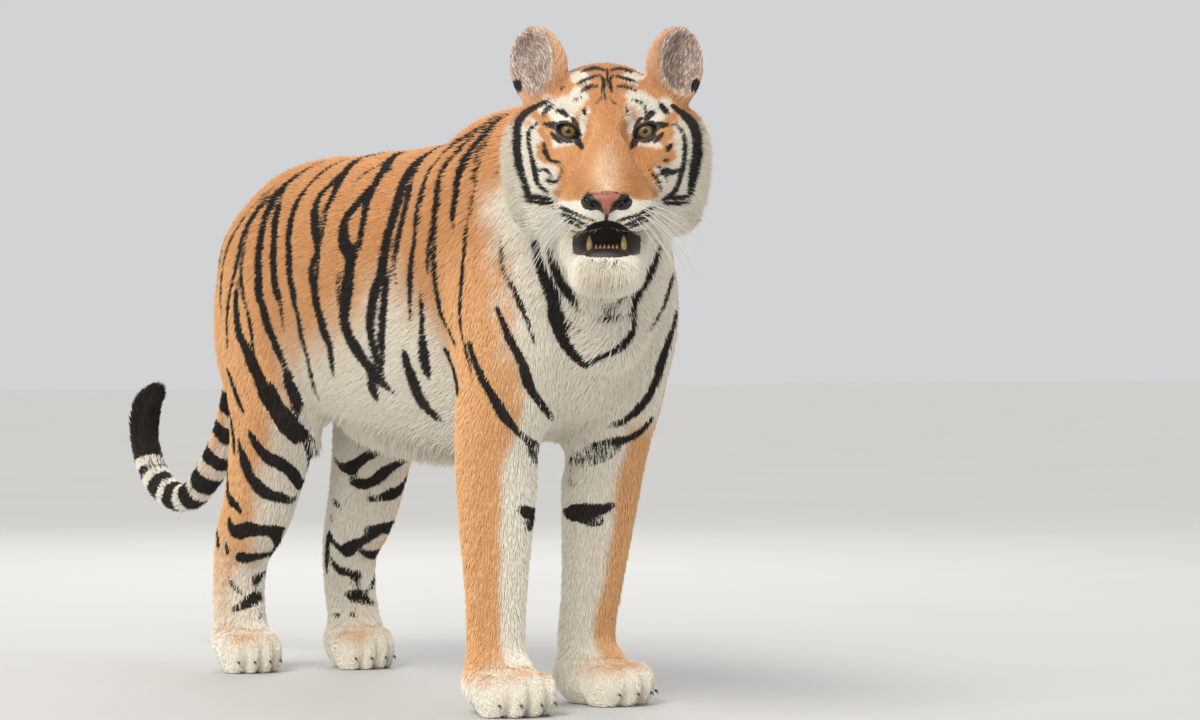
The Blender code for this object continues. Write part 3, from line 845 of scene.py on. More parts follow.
    def hair(self, points: np.ndarray, shares: Shares) -> Arrays:
        """Gives the size of the tufts at each point.

        Args:
            points: rows of x, y and z on the skin.
            shares: the zones' shares there.

        Returns:
            Lengths, widths and lifts in degrees.
        """
        length, width, lift = (self.blend(shares, name) for name in ("length", "width", "lift"))
        for fringe in self.fringes:
            share = smooth(fringe.reach, 0.0, fringe.form.distance(points))
            length = length * (1 - share) + fringe.length * share
            lift = lift * (1 - share) + fringe.lift * share
        near_eye = smooth(0.010, 0.0, self.lids.distance(points))
        back, up = self.anatomy.head.into(points).T[1:]
        pads = smooth(-0.095, -0.110, up) * smooth(-0.170, -0.150, up) * smooth(-0.02, -0.05, back)
        length, lift = length * (1 - 0.40 * pads), lift * (1 - 0.5 * pads)
        return length * (1 - 0.45 * near_eye), width * (1 - 0.3 * near_eye), lift * (1 - 0.5 * near_eye)


# Markings


class Chart(Enum):
    """The ways that a stroke's places are given."""

    FLANK = "flank"  # cm along the trunk, degrees down from the spine; on both sides
    FRONT = "front"  # cm across and up in a view from the animal's right front, onto neck, chest and forelegs
    FACE = "face"  # mm across and up from between the pupils
    LEG = "leg"  # degrees round the leg, from forward over outward to backward, and cm up


@dataclass(frozen=True)
class Stroke:
    """A dark stripe with its width in mm, its places on a chart, and where it goes."""

    width: float
    places: tuple
    chart: Chart
    side: int = 1
    leg: Leg | None = None
    blunt: float = 0.4  # how wide its ends are against its middle


def strokes(
    chart: Chart, *rows: tuple, side: int = 1, leg: Leg | None = None, blunt: float = 0.35
) -> list[Stroke]:
    """Makes strokes of one chart.

    Args:
        chart: how the places are given.
        rows: for each stroke a width in mm, then two numbers for each of its places.
        side: 1 for the animal's left and -1 for its right.
        leg: the leg that they go round, for leg charts.
        blunt: how wide the ends are against the middle.

    Returns:
        The strokes.
    """
    return [
        Stroke(width, tuple(zip(numbers[::2], numbers[1::2])), chart, side, leg, blunt)
        for width, *numbers in rows
    ]


def over_back(row: tuple) -> tuple:
    """Runs a stroke that starts high on the flank further up towards the spine.

    Args:
        row: a width in mm, then cm along and degrees down for each place.

    Returns:
        The row, with one more place at its start.
    """
    width, along, down, next_along, next_down, *_ = row
    if down > LOW_START:
        return row
    rise = min(MOST_RISE, 0.55 * down)
    lean = max(-MOST_LEAN, min(MOST_LEAN, (along - next_along) / max(1.0, next_down - down)))
    return width, along + lean * rise, down - rise, *row[1:]


LOW_START = 60  # degrees down, past which a stroke isn't run further up
MOST_RISE = 18.0  # degrees that a stroke is run up
MOST_LEAN = 0.2  # cm along for each degree of that

# Each row is a stroke's width in mm, and then two numbers on its chart for each of its places.
FLANK_STROKES = (
    (6, 40, 46, 42.5, 56, 44.5, 70, 43, 90, 41, 103),
    (7, 36.5, 44, 37.5, 56, 37.5, 70, 38.5, 90, 38.5, 105, 38.5, 117),
    (7, 34, 36, 36, 48, 36, 60, 35, 77, 31.5, 95, 29.5, 107, 29, 118),
    (15, 36, 86, 34, 106, 31, 119, 28, 133, 26.5, 146, 27.5, 158),
    (12, 30, 22, 32, 34, 31.5, 47, 30, 64, 28, 83, 25, 102, 23, 116, 21.5, 130, 23, 149),
    (12, 28.5, 42, 26, 56, 24.5, 68, 22.5, 83, 20, 95, 19.5, 110),
    (12, 21.5, 14, 22, 36, 21.5, 47, 19.5, 59, 16.5, 78, 14, 93, 12, 111, 11.5, 126, 15, 145),
    (12, 12.5, 30, 13.5, 39, 11, 51, 6.5, 66, 5.5, 85),
    (12, 11, 6, 14, 13, 11, 24, 8.5, 37, 8, 47, 5.5, 60),
    (14, 7, 66, 8, 76, 6, 89, 3, 108, 1.5, 116, 2.5, 130), (5, 1, 22, 3, 30, 2.5, 37),
    (17, -2.5, 42, -0.5, 51, -2, 60, -5.5, 70, -6, 84, -4.5, 104, -8.5, 120, -12, 130, -15.5, 138),
    (7, -2, 78, -2.5, 91, -4.5, 101), (14, 2, 9, -3, 23, -5, 35, -6.5, 48, -8.5, 66),
    (14, -14, 15, -13.5, 24, -15, 36, -16.5, 52, -16, 76, -14, 92, -13, 111, -14, 125, -15, 137),
    (10, -15, 21, -17, 32, -20, 43, -20, 58, -20, 72, -21, 86),
    (11, -17.5, 77, -17.5, 91, -16.5, 109, -15, 127),
    (11, -25.5, 46, -27, 60, -26, 75, -25.5, 90, -25, 105),
    (9, -34, 22, -29, 26, -25.5, 32, -27, 42, -29.5, 55),
    (10, -35, 27, -32.5, 35, -33.5, 46, -34, 57, -33, 68, -32, 80),
    (9, -35, 60, -35, 80, -35.5, 94, -37, 105, -42, 117), (8, -29, 86, -29, 99, -28, 112, -28, 125),
    (15, -28, 112, -27.5, 122, -27.5, 134), (12, -39, 26, -39, 36, -40, 50, -41, 60),
    (5, -41.5, 30, -43, 37, -44, 41), (16, -22, 120, -22.5, 132, -23, 143, -25.5, 152),
    (15, -33.5, 119, -38, 129, -42, 134), (12, -9.5, 131, -9.5, 141), (6, -50, 16, -52, 30, -51, 42),
    (6, -57, 14, -59, 26, -58, 36), (5, 46, 30, 48, 50, 48, 72, 46, 92),
    (6, 52, 30, 53, 60, 52, 90, 50, 115), (7, 58, 12, 60, 45, 58, 80), (7, 40, 8, 43, 26),
    (7, 48, 6, 51, 20), (6, -63, 10, -65, 28),
    (6, -41, 19, -43.5, 29, -45, 42, -45, 64, -44.5, 83, -44, 107, -47, 130),
)
HIND_OUTER_STROKES = (
    (15, 61, 56.5, 47, 51, 23, 45.5, 1, 41.5), (13, 23, 54, 8, 47), (11, 125, 55, 110, 50.5, 78, 46.5),
    (14, 35, 52, 25, 48, 8, 44.5, -11, 42, -30, 38.5), (15, 64, 43.5, 34, 39.5, 8, 37.5, -23, 34.5),
    (14, 92, 42, 65, 38, 33, 34, 9, 32, -12, 31), (7, 71, 40, 44, 36.5), (13, 92, 31, 66, 30.5, 42, 29),
    (16, 68, 27.5, 45, 25.5, 16, 26, -13, 25.5), (8, 59, 23.5, 51, 21), (14, 30, 20.5, 10, 21, -12, 21.5),
    (8, -5, 16, -25, 17), (7, 48, 17, 32, 15, 17, 14.5), (7, 46, 11, 12, 12, -33, 12.5),
    (12, 150, 48, 125, 44, 100, 39), (10, 150, 38, 120, 34, 95, 31), (9, 140, 26, 110, 24, 85, 22),
)
HIND_INNER_STROKES = (
    (12, -120, 38, -63, 36.5, -41, 38, -30, 40), (12, -52, 34, -23, 34, -9, 35.5, 2, 37),
    (9, -20, 31, -5, 31.5, 6, 33), (8, -98, 30.5, -61, 29.5),
    (13, -80, 24.5, -45, 22, -29, 21.5, -13, 23.5, 7, 26), (9, -75, 20, -50, 18, -26, 17.5, -2, 17.5),
    (9, -40, 13.5, -13, 13.5, 13, 13), (7, -80, 9.5, -60, 9.5), (6, -37, 10, -20, 9.5),
    (9, -80, 25, -90, 21, -94, 17), (7, -95, 27.5, -75, 27),
)
FORE_INNER_STROKES = (
    (15, -105, 31.5, -80, 31.5, -40, 32, -8, 33), (6, -95, 36.5, -68, 36), (8, -78, 31.5, -44, 30, -19, 30),
    (8, -75, 41, -41, 42.5, -13, 43.5, 3, 45), (6, -106, 39, -59, 39.5, -29, 40.5, -13, 42),
)
FRONT_STROKES = (
    (9, 9, 59.5, 11, 54, 13.5, 49.5, 16, 46, 19, 43),
    (11, 13.5, 65, 15.5, 60, 17.5, 56, 18.5, 52.5, 20, 50, 22, 47),
    (5, 14.5, 76, 14.5, 71.5, 16, 68, 18, 63.5, 19.5, 59),
    (15, 19.5, 77, 21, 70.5, 22.5, 66.5, 23, 62.5, 24.5, 59, 27.5, 55.5),
    (9, 22, 75, 23, 70.5, 25, 67, 26.5, 64.5), (6, 23, 65, 25, 62.5, 27, 61),
    (6, 29.5, 66.5, 31, 65, 32.5, 66, 34.5, 68, 35.5, 72), (8, 38.5, 75, 37, 70, 35, 66.5, 34.5, 63.5),
    (6, 29, 63, 31.5, 63, 34.5, 63.5), (6, 35, 63.5, 34.5, 61, 32.5, 58.5, 29.5, 57, 28, 56),
    (5, 41.5, 71.5, 40, 67, 38.5, 63.5, 36.5, 60.5),
    (8, 42, 66, 40.5, 60, 39, 55.5, 38, 52, 36, 49, 33, 46.5, 31, 46),
    (8, 38, 47.5, 36, 45, 33, 43.5, 29.5, 43, 27.5, 42, 25, 41),
)
MIDDLE_FACE_STROKES = (
    (4, -8, 85, -25, 80, -44, 72), (4, 8, 85, 28, 80, 48, 73), (5, -13, 67, -26, 66, -39, 59),
    (5, 15, 66, 28, 66, 44, 60), (4, -8, 84, -4, 72, -7, 57), (4, 7, 84, 5, 70, 9, 57),
    (5, -38, 92, -18, 97, -2, 93), (5, 41, 92, 20, 97, 4, 92), (3, -6, 50, -16, 40), (3, 4, 50, 14, 38),
    (3, -3, 56, -2, 44), (3, 2, 70, 1, 96),
)
LIP_STROKES = (
    (3, 0, -124, 0, -134, 0, -144), (2, -6, -143, -18, -147, -31, -155, -44, -162),
    (2, 6, -143, 18, -147, 31, -155, 44, -162), (3, -21, -198, -19, -199), (3, -12, -202, -10, -203),
    (3, -3, -197, -1, -198), (3, 6, -202, 8, -201), (3, 14, -197, 16, -198), (3, 22, -202, 24, -201),
    (2.5, -7, -209, -5, -210), (2.5, 11, -209, 13, -208),
)
LID_STROKES = (
    (8, 70, 8, 80, 9, 92, 10), (9, 47, -11, 41, -19, 36, -27), (5, 50, -15, 62, -14, 73, -7),
)
RIGHT_FACE_STROKES = (
    (3.5, 51, 44, 45, 48, 38, 49), (4, 33, 34, 32, 21), (7, 75, 30, 66, 29, 59, 23),
    (5, 96, 22, 90, 33, 80, 40), (4, 70, 63, 62, 70), (3.5, 97, 11, 84, 10),
    (4.5, 83, -3, 76, -11, 69, -17), (4, 52, 20, 47, 12, 42, 4),
    (6, 104, 13, 116, -1, 115, -27, 109, -56, 102, -79, 86, -94), (5, 95, -18, 91, -33, 83, -46, 70, -48),
    (4, 101, -59, 90, -60, 84, -68, 88, -76, 74, -77, 65, -56),
    (10, 86, 49, 106, 38, 124, 27, 134, 8, 134, -27, 128, -56, 120, -85, 112, -102),
    (6, 126, -96, 105, -99, 84, -102), (5, 122, -104, 100, -107, 80, -108),
    (3.4, 82, -114, 66, -119, 48, -127, 34, -133, 18, -138), (3.4, 76, -124, 56, -132, 38, -140, 24, -146),
    (3, 68, -134, 50, -141, 36, -148),
)
LEFT_FACE_STROKES = (
    (3.5, 37, 47, 50, 43, 58, 33, 60, 26), (3.5, 28, 35, 33, 22), (7, 72, 28, 64, 24, 59, 17),
    (7, 80, 42, 87, 32, 93, 26), (4, 52, 20, 47, 12, 42, 4), (3.5, 97, 9, 86, 9),
    (4.5, 85, -3, 77, -12, 72, -17), (7, 103, 12, 115, -5, 117, -28, 112, -62, 102, -90, 84, -104),
    (6, 97, -20, 91, -31), (4, 93, -44, 85, -46), (6, 110, -58, 98, -63, 88, -60, 80, -66),
    (4, 62, -56, 72, -72, 82, -90), (3.5, 72, -52, 86, -64, 90, -78),
    (13, 99, 40, 117, 26, 132, 6, 136, -27, 130, -60, 124, -92), (6, 88, -99, 108, -100, 128, -96),
    (5, 84, -108, 104, -108, 124, -106), (3.4, 80, -112, 62, -121, 46, -129, 30, -134, 17, -138),
    (3.4, 74, -124, 52, -134, 36, -141, 24, -146), (3, 66, -134, 48, -142, 34, -148),
)


@dataclass(frozen=True)
class Patch:
    """A pale or bare area of the face: its middle and radii in mm across and up, and its tilt in degrees."""

    middle: tuple[float, float]
    radii: tuple[float, float]
    tilt: float = 0.0

    def share(self, across: np.ndarray, up: np.ndarray, edge: float) -> np.ndarray:
        """How far each point lies in the patch.

        Args:
            across: mm from the middle of the face, outward.
            up: mm above the pupils.
            edge: width of the soft edge, as a share of the radii.

        Returns:
            1 inside, falling to 0 over the edge.
        """
        turn = math.radians(self.tilt)
        x, z = across - self.middle[0], up - self.middle[1]
        x, z = x * math.cos(turn) + z * math.sin(turn), z * math.cos(turn) - x * math.sin(turn)
        return smooth(1 + edge, 1 - edge, np.hypot(x / self.radii[0], z / self.radii[1]))


PALE_FACE = (
    Patch((63, 31), (26, 19), -18), Patch((42, 46), (16, 15)), Patch((37, 4), (7, 30), 22),
    Patch((66, -18), (20, 9), -18), Patch((107, -30), (13, 52), -6), Patch((92, -84), (34, 32)),
    Patch((134, -45), (26, 62)), Patch((46, -127), (44, 23), 14), Patch((0, -222), (75, 36)),
    Patch((92, 38), (16, 10), -40), Patch((40, 80), (18, 10), 10), Patch((75, -150), (30, 30)),
)
BRIDGE = Patch((0, -66), (20, 46))
ORANGE_FACE = (Patch((90, -26), (9, 20), 14), Patch((52, -68), (17, 34), 12), Patch((58, -97), (17, 7), 20))


@dataclass
class TailRings:
    """The tail's dark tip and rings, in cm back along the tail from its tip."""

    tip: float = 14.5
    rings: tuple = (
        (16.5, 18.0), (20, 22.8), (25, 28.2), (30.5, 33.8), (36, 39.4), (42, 45.4), (48, 51.5), (54, 57.5),
        (61, 64), (68, 71), (76, 79),
    )

    def inside(self, back: np.ndarray) -> np.ndarray:
        """How far each place lies inside the nearest dark band, in metres, negative outside."""
        bands = [(-5.0, self.tip), *self.rings]
        return np.max([np.minimum(back - start, end - back) for start, end in bands], axis=0) / 100


@dataclass
class Markings:
    """The stripes and the tail's rings, all worked out on the skin's own surface."""

    anatomy: Anatomy
    pelage: Pelage
    axis_height: float = 0.67  # of the line that the flank's chart turns round
    view_yaw: float = 31.0  # of the view that the front chart is given in
    samples: int = 7  # between two places of a stroke
    widest: float = 0.03
    spread: dict = field(  # what the strokes' own widths are multiplied by
        default_factory=lambda: {Chart.FLANK: 2.0, Chart.FRONT: 1.3, Chart.FACE: 1.15, Chart.LEG: 1.75}
    )
    margin: dict = field(default_factory=lambda: {Chart.FRONT: 2.5, Chart.FACE: 1.2})  # mm added to widths
    lift: float = 0.018  # how far off the skin a stroke may lie
    depths: tuple[float, float] = (0.006, 0.003)  # how deep strokes lie in the torso and in the head
    flank_reach: float = 0.40  # how far out the rays of the flank's chart start
    front_reach: float = 1.2
    face_reach: float = 300  # in mm

    def __post_init__(self) -> None:
        """Lays every stroke on the skin."""
        random = np.random.default_rng(SEED)
        marks = strokes(Chart.FLANK, *[over_back(row) for row in FLANK_STROKES], side=-1)
        for stroke in list(marks):
            slide, lower = random.normal(0, 0.8), random.normal(0, 2.0)
            places = tuple((along + slide, down + lower + 2) for along, down in stroke.places)
            marks.append(Stroke(stroke.width * random.uniform(0.85, 1.15), places, Chart.FLANK, 1))
        for leg in Leg:
            rows = FORE_INNER_STROKES if leg.fore else (*HIND_OUTER_STROKES, *HIND_INNER_STROKES)
            marks += strokes(Chart.LEG, *rows, side=leg.side, leg=leg)
        marks += strokes(Chart.FRONT, *FRONT_STROKES)
        marks += strokes(Chart.FACE, *MIDDLE_FACE_STROKES, *LIP_STROKES, blunt=0.5)
        for side in (1, -1):
            marks += strokes(Chart.FACE, *LID_STROKES, side=side, blunt=0.4)
        marks += strokes(Chart.FACE, *RIGHT_FACE_STROKES, side=-1, blunt=0.5)
        marks += strokes(Chart.FACE, *LEFT_FACE_STROKES, side=1, blunt=0.5)
        self.lines = [line for line in self.laid(marks) if line and len(line[0]) > 1]
        self.rings = TailRings()

    def laid(self, marks: list[Stroke]) -> list[tuple[np.ndarray, np.ndarray, np.ndarray | None]]:
        """Lays strokes on the skin.

        Args:
            marks: the strokes on their charts.

        Returns:
            For each stroke, points on the skin, the half widths there, and the way that it is seen along
            where it is measured in a flat view.
        """
        rays, halves = [], []
        for stroke in marks:
            places = spline(np.array(stroke.places, float), self.samples)
            share = np.linspace(0, 1, len(places))
            swell = stroke.blunt + (1 - stroke.blunt) * np.sin(math.pi * share) ** 0.6
            width = stroke.width * self.spread[stroke.chart] + self.margin.get(stroke.chart, 0.0)
            halves.append(width / 2000 * swell)
            rays.append(self.rays(stroke, places))
        lines: list = [None] * len(marks)
        for form, depth in zip((self.anatomy.torso, self.anatomy.whole), self.depths):
            mine = [number for number, ray in enumerate(rays) if ray[2] is form]
            origins, ways = (np.vstack([rays[number][part] for number in mine]) for part in (0, 1))
            points, found = cast(form, depth, origins, ways)
            ends = np.cumsum([len(halves[number]) for number in mine])[:-1]
            for number, line, good in zip(mine, np.split(points, ends), np.split(found, ends)):
                flat = marks[number].chart in (Chart.FRONT, Chart.FACE)
                lines[number] = (line[good], halves[number][good], rays[number][1][0] if flat else None)
        return lines

    def rays(self, stroke: Stroke, places: np.ndarray) -> tuple[np.ndarray, np.ndarray, Form]:
        """Turns places on a chart into rays that run onto the animal.

        Args:
            stroke: the stroke, for its chart, side and leg.
            places: rows of two numbers on the chart.

        Returns:
            Where the rays start, their directions and the form that they meet.
        """
        first, second, body = places[:, 0], places[:, 1], self.anatomy
        zero = np.zeros(len(places))
        if stroke.chart is Chart.FLANK:
            down = np.radians(second)
            outward = np.column_stack([stroke.side * np.sin(down), zero, np.cos(down)])
            middle = np.column_stack([zero, first / 100, zero + self.axis_height])
            return middle + self.flank_reach * outward, -outward, body.torso
        if stroke.chart is Chart.LEG:
            route = body.legs[stroke.leg].rows
            order = np.argsort(route[:, 2])
            x, y = (np.interp(second / 100, route[order, 2], route[order, axis]) for axis in (0, 1))
            turn = np.radians(first)
            outward = np.column_stack([stroke.side * np.sin(turn), -np.cos(turn), zero])
            reach = np.where(first < -10, 0.085, 0.17)[:, None]
            return np.column_stack([x, y, second / 100]) + reach * outward, -outward, body.torso
        if stroke.chart is Chart.FRONT:
            across, ahead = turning(-self.view_yaw)[:, 0], turning(-self.view_yaw)[:, 1]
            start = first[:, None] / 100 * across + second[:, None] / 100 * UPWARD
            return start - self.front_reach * ahead, np.tile(ahead, (len(places), 1)), body.torso
        local = np.column_stack([stroke.side * first, zero - self.face_reach, second]) / 1000
        ways = np.tile(body.head.axes @ np.array((0, 1, 0)), (len(places), 1))
        return body.head.out(local), ways, body.whole

    def dark(self, points: np.ndarray, normals: np.ndarray) -> np.ndarray:
        """How far each point lies inside a dark marking, in metres, negative outside.

        Args:
            points: rows of x, y and z on the skin.
            normals: the skin's outward directions there.

        Returns:
            Signed depths, at least minus the widest reach.
        """
        uneven = 1 + 0.20 * wobble(points, 0.045, 3)
        result = np.full(len(points), -self.widest)
        for line, half, way in self.lines:
            low, high = line.min(axis=0) - self.widest, line.max(axis=0) + self.widest
            near = np.flatnonzero(((points > low) & (points < high)).all(axis=1))
            if way is not None:
                near = near[normals[near] @ way < 0.15]
            local, best = points[near], result[near]
            axis = normals[near] if way is None else way
            for start, stop, first, second in zip(line, line[1:], half, half[1:]):
                span = stop - start
                share = np.clip((local - start) @ span / max(span @ span, 1e-12), 0, 1)
                gap = local - start - share[:, None] * span
                off = np.clip((gap * axis).sum(axis=1), -self.lift, self.lift)
                gap = np.linalg.norm(gap - off[:, None] * axis, axis=1)
                best = np.maximum(best, (first + (second - first) * share) * uneven[near] - gap)
            result[near] = best
        return result


def cast(form: Form, depth: float, origins: np.ndarray, ways: np.ndarray) -> tuple[np.ndarray, np.ndarray]:
    """Follows rays until they are inside a form by a depth.

    Args:
        form: the form that they meet.
        depth: how far under its surface they stop.
        origins: where the rays start, outside the form.
        ways: their unit directions.

    Returns:
        The points reached, and whether each ray met the form.
    """
    points = origins.copy()
    gap = form.distance(points) + depth
    for _ in range(CAST_ROUNDS):
        points += np.clip(gap, -0.01, 0.12)[:, None] * 0.9 * ways
        gap = form.distance(points) + depth
    return points, np.abs(gap) < CAST_ERROR


# Meshes


def linked(name: str, data: bpy.types.ID) -> bpy.types.Object:
    """Puts data in the scene as a new object at the origin.

    Args:
        name: the object's name.
        data: its mesh, curve, light or camera.

    Returns:
        The new object.
    """
    item = bpy.data.objects.new(name, data)
    bpy.context.scene.collection.objects.link(item)
    return item


def mesh_object(name: str, mesh: bmesh.types.BMesh) -> bpy.types.Object:
    """Makes an object of a bmesh.

    Args:
        name: the object's name.
        mesh: the bmesh, which is freed.

    Returns:
        The new object.
    """
    data = bpy.data.meshes.new(name)
    mesh.to_mesh(data)
    mesh.free()
    return linked(name, data)


def remove(*items: bpy.types.Object) -> None:
    """Removes objects that were only tools."""
    for item in items:
        bpy.data.objects.remove(item)


def evaluated(item: bpy.types.Object) -> bpy.types.Mesh:
    """Makes a mesh of an object as its modifiers or its bevel give it.

    Args:
        item: the object.

    Returns:
        The new mesh.
    """
    bpy.context.view_layer.update()
    graph = bpy.context.evaluated_depsgraph_get()
    return bpy.data.meshes.new_from_object(item.evaluated_get(graph))


def settled(item: bpy.types.Object, kind: str, **settings: object) -> bpy.types.Object:
    """Adds one modifier and makes its result the object's own mesh.

    Args:
        item: the object.
        kind: the modifier's type.
        settings: the modifier's settings.

    Returns:
        The same object.
    """
    modifier = item.modifiers.new(kind, kind)
    for name, value in settings.items():
        setattr(modifier, name, value)
    data = evaluated(item)
    item.modifiers.clear()
    item.data = data
    return item


def combined(item: bpy.types.Object, other: bpy.types.Object, operation: str) -> bpy.types.Object:
    """Joins, cuts or keeps what two closed meshes share, and removes the second.

    Args:
        item: the mesh that stays.
        other: the mesh that works on it.
        operation: UNION, DIFFERENCE or INTERSECT.

    Returns:
        The first object.
    """
    settled(item, "BOOLEAN", object=other, operation=operation, solver="MANIFOLD")
    remove(other)
    return item


def read(data: bpy.types.Mesh, what: str, normals: bool = False) -> np.ndarray:
    """Reads a mesh's points or its normals as rows.

    Args:
        data: the mesh.
        what: "vertices" or the like, a collection with three numbers each.
        normals: whether to read normals and not places.

    Returns:
        Rows of three numbers.
    """
    source = data.vertex_normals if normals else getattr(data, what)
    flat = np.empty(len(source) * 3, np.float32)
    source.foreach_get("vector" if normals else "co", flat)
    return flat.reshape(-1, 3).astype(float)


def write(data: bpy.types.Mesh, points: np.ndarray) -> None:
    """Writes a mesh's points."""
    data.vertices.foreach_set("co", points.astype(np.float32).ravel())
    data.update()


def keep_number(data: bpy.types.Mesh, name: str, values: np.ndarray) -> None:
    """Stores one number for each point of a mesh."""
    layer = data.attributes.new(name, "FLOAT", "POINT")
    layer.data.foreach_set("value", np.ascontiguousarray(values, np.float32))


# The skin


def keep_largest(item: bpy.types.Object) -> None:
    """Removes all but the largest connected part of a mesh.

    Args:
        item: the mesh object.
    """
    mesh = bmesh.new()
    mesh.from_mesh(item.data)
    unseen, islands = set(mesh.verts), []
    while unseen:
        first = unseen.pop()
        edge, island = [first], [first]
        while edge:
            fresh = {link.other_vert(vertex) for vertex in edge for link in vertex.link_edges} & unseen
            unseen -= fresh
            edge = list(fresh)
            island += edge
        islands.append(island)
    largest = max(islands, key=len)
    for island in islands:
        if island is not largest:
            bmesh.ops.delete(mesh, geom=island, context="VERTS")
    LOG.info("skin: %d stray parts removed", len(islands) - 1)
    mesh.to_mesh(item.data)
    mesh.free()


@dataclass
class Cut:
    """A box in a placed frame: middle, size, and pitch in degrees."""

    at: Triple
    yaw: float
    middle: Triple
    size: Triple
    pitch: float = 0.0

    def matrix(self) -> Matrix:
        """The box's own frame in the animal's."""
        tilt = Matrix(turning(0, self.pitch).tolist()).to_4x4()
        return frame_at(self.at, turning(self.yaw)) @ Matrix.Translation(Vector(self.middle)) @ tilt

    def block(self, grow: float = 0.0) -> bpy.types.Object:
        """The box as an object to cut with, each face moved outward.

        Args:
            grow: how far each face is moved outward.

        Returns:
            The box.
        """
        mesh = bmesh.new()
        sides = Matrix.Diagonal((*(length + 2 * grow for length in self.size), 1))
        bmesh.ops.create_cube(mesh, size=1, matrix=self.matrix() @ sides)
        return mesh_object("block", mesh)

    def distance(self, points: np.ndarray) -> np.ndarray:
        """How far outside the box each point is, negative inside.

        Args:
            points: rows of x, y and z.

        Returns:
            Distances, negative inside.
        """
        turned = np.array(self.matrix())
        local = (points - turned[:3, 3]) @ turned[:3, :3]
        return (np.abs(local) - np.array(self.size) / 2).max(axis=1)


@dataclass
class Skin:
    """One closed skin over the whole animal, finer on the head and the paws."""

    anatomy: Anatomy
    pelage: Pelage
    body_voxel: float = 0.0092
    head_voxel: float = 0.0032
    paw_voxel: float = 0.0042
    paw_height: float = 0.078
    overlap: float = 0.005  # of the fine skin into the coarse one
    step: float = 0.0012  # how much deeper the fine skin starts there
    eye_opening: tuple[float, float] = (0.0185, 0.0110)  # half its width and height
    ball: float = 0.0220  # radius of the eyeball
    stride: float = 0.012  # the most that a point moves in one round
    pull: float = 0.95  # the share of its gap that it moves

    def head_cut(self) -> Cut:
        """The box round the head."""
        size = (0.60, 0.40, 0.62)
        return Cut(self.anatomy.head_place, self.anatomy.head_yaw, (0, -0.085, -0.020), size, -15)

    def paw_cut(self, name: Leg) -> Cut:
        """The box round a paw."""
        return Cut((*self.anatomy.stances[name].at, 0), 0, (0, -0.01, 0), (0.20, 0.27, 2 * self.paw_height))

    def shell(self, rough: Form, voxel: float, cut: Cut | None = None) -> bpy.types.Object:
        """Makes a closed mesh of the skin round the shapes of a rough form.

        Args:
            rough: the form whose shapes the mesh begins as.
            voxel: the fineness of the mesh.
            cut: for a fine shell, the box that it will be cut to.

        Returns:
            The new object.
        """
        mesh = bmesh.new()
        rough.add_to(mesh, Matrix())
        item = settled(mesh_object("shell", mesh), "REMESH", mode="VOXEL", voxel_size=voxel)
        mesh = bmesh.new()
        rough.add_hollows_to(mesh, Matrix())
        if mesh.verts:
            hollow = settled(mesh_object("hollow", mesh), "REMESH", mode="VOXEL", voxel_size=voxel)
            settled(combined(item, hollow, "DIFFERENCE"), "REMESH", mode="VOXEL", voxel_size=voxel)
        else:
            mesh.free()
        self.draw_onto_skin(item, 2, cut)
        settled(item, "REMESH", mode="VOXEL", voxel_size=voxel)
        self.draw_onto_skin(item, 3, cut)
        return item

    def draw_onto_skin(self, item: bpy.types.Object, rounds: int, cut: Cut | None) -> None:
        """Moves each point along its normal until it lies at the skin's depth.

        Args:
            item: the mesh to move.
            rounds: how many times.
            cut: the box near whose faces the skin is drawn deeper, or None.
        """
        points = read(item.data, "vertices")
        depth = self.pelage.depth(points)
        if cut is not None:
            depth += self.step * smooth(-0.015, -0.002, cut.distance(points))
        for _ in range(rounds):
            normals = read(item.data, "", normals=True)
            gap = np.clip(self.anatomy.whole.distance(points) + depth, -self.stride, self.stride)
            points -= (self.pull * gap)[:, None] * normals
            write(item.data, points)

    def build(self) -> bpy.types.Object:
        """Builds the skin with its sockets and lids.

        Returns:
            The skin, still in the animal's own frame.
        """
        body = self.anatomy
        skin = self.shell(body.whole, self.body_voxel)
        nape = Sweep(body.neck_stations[2:])
        fine = [(self.head_cut(), Mass([(nape, 0.01), (body.head, 0.05)]), self.head_voxel)]
        for name in Leg:
            wrist = Sweep([row for row in body.leg(name).rows if row[2] < 0.16], FORWARD, 2.15)
            rough = Mass([(wrist, 0.01), (body.paws[name], 0.02)])
            fine.append((self.paw_cut(name), rough, self.paw_voxel))
        for cut, rough, voxel in fine:
            patch = self.shell(rough, voxel, cut)
            combined(patch, cut.block(self.overlap), "INTERSECT")
            combined(skin, cut.block(), "DIFFERENCE")
            combined(skin, patch, "UNION")
        floor = Cut((0, 0, 0), 0, (0, 0, -0.5), (4, 4, 1.001))
        combined(skin, floor.block(), "DIFFERENCE")
        for side in (1, -1):
            combined(skin, self.socket(side), "DIFFERENCE")
            combined(skin, self.opening(side), "DIFFERENCE")
        keep_largest(skin)
        skin.name = skin.data.name = "skin"
        return skin

    def eye_frame(self, side: int) -> Matrix:
        """The frame of an eye: its origin in the ball's middle, Y backward, turned by the lids' slant.

        Args:
            side: 1 for the left eye and -1 for the right.

        Returns:
            The frame, in the animal's own.
        """
        middle = np.array((side * self.anatomy.eye_spread, self.anatomy.eye_depth, 0))
        place = Vector(self.anatomy.head.out(middle))
        turned = turning(self.anatomy.head_yaw) @ turning(0, 0, -side * self.anatomy.eye_slant)
        return frame_at(place, turned)

    def socket(self, side: int) -> bpy.types.Object:
        """A ball that makes room for the eyeball.

        Args:
            side: 1 for the left eye and -1 for the right.

        Returns:
            The ball.
        """
        mesh = bmesh.new()
        add_ball(mesh, self.eye_frame(side) @ Matrix.Scale(self.ball + 0.0005, 4), 4)
        return mesh_object("socket", mesh)

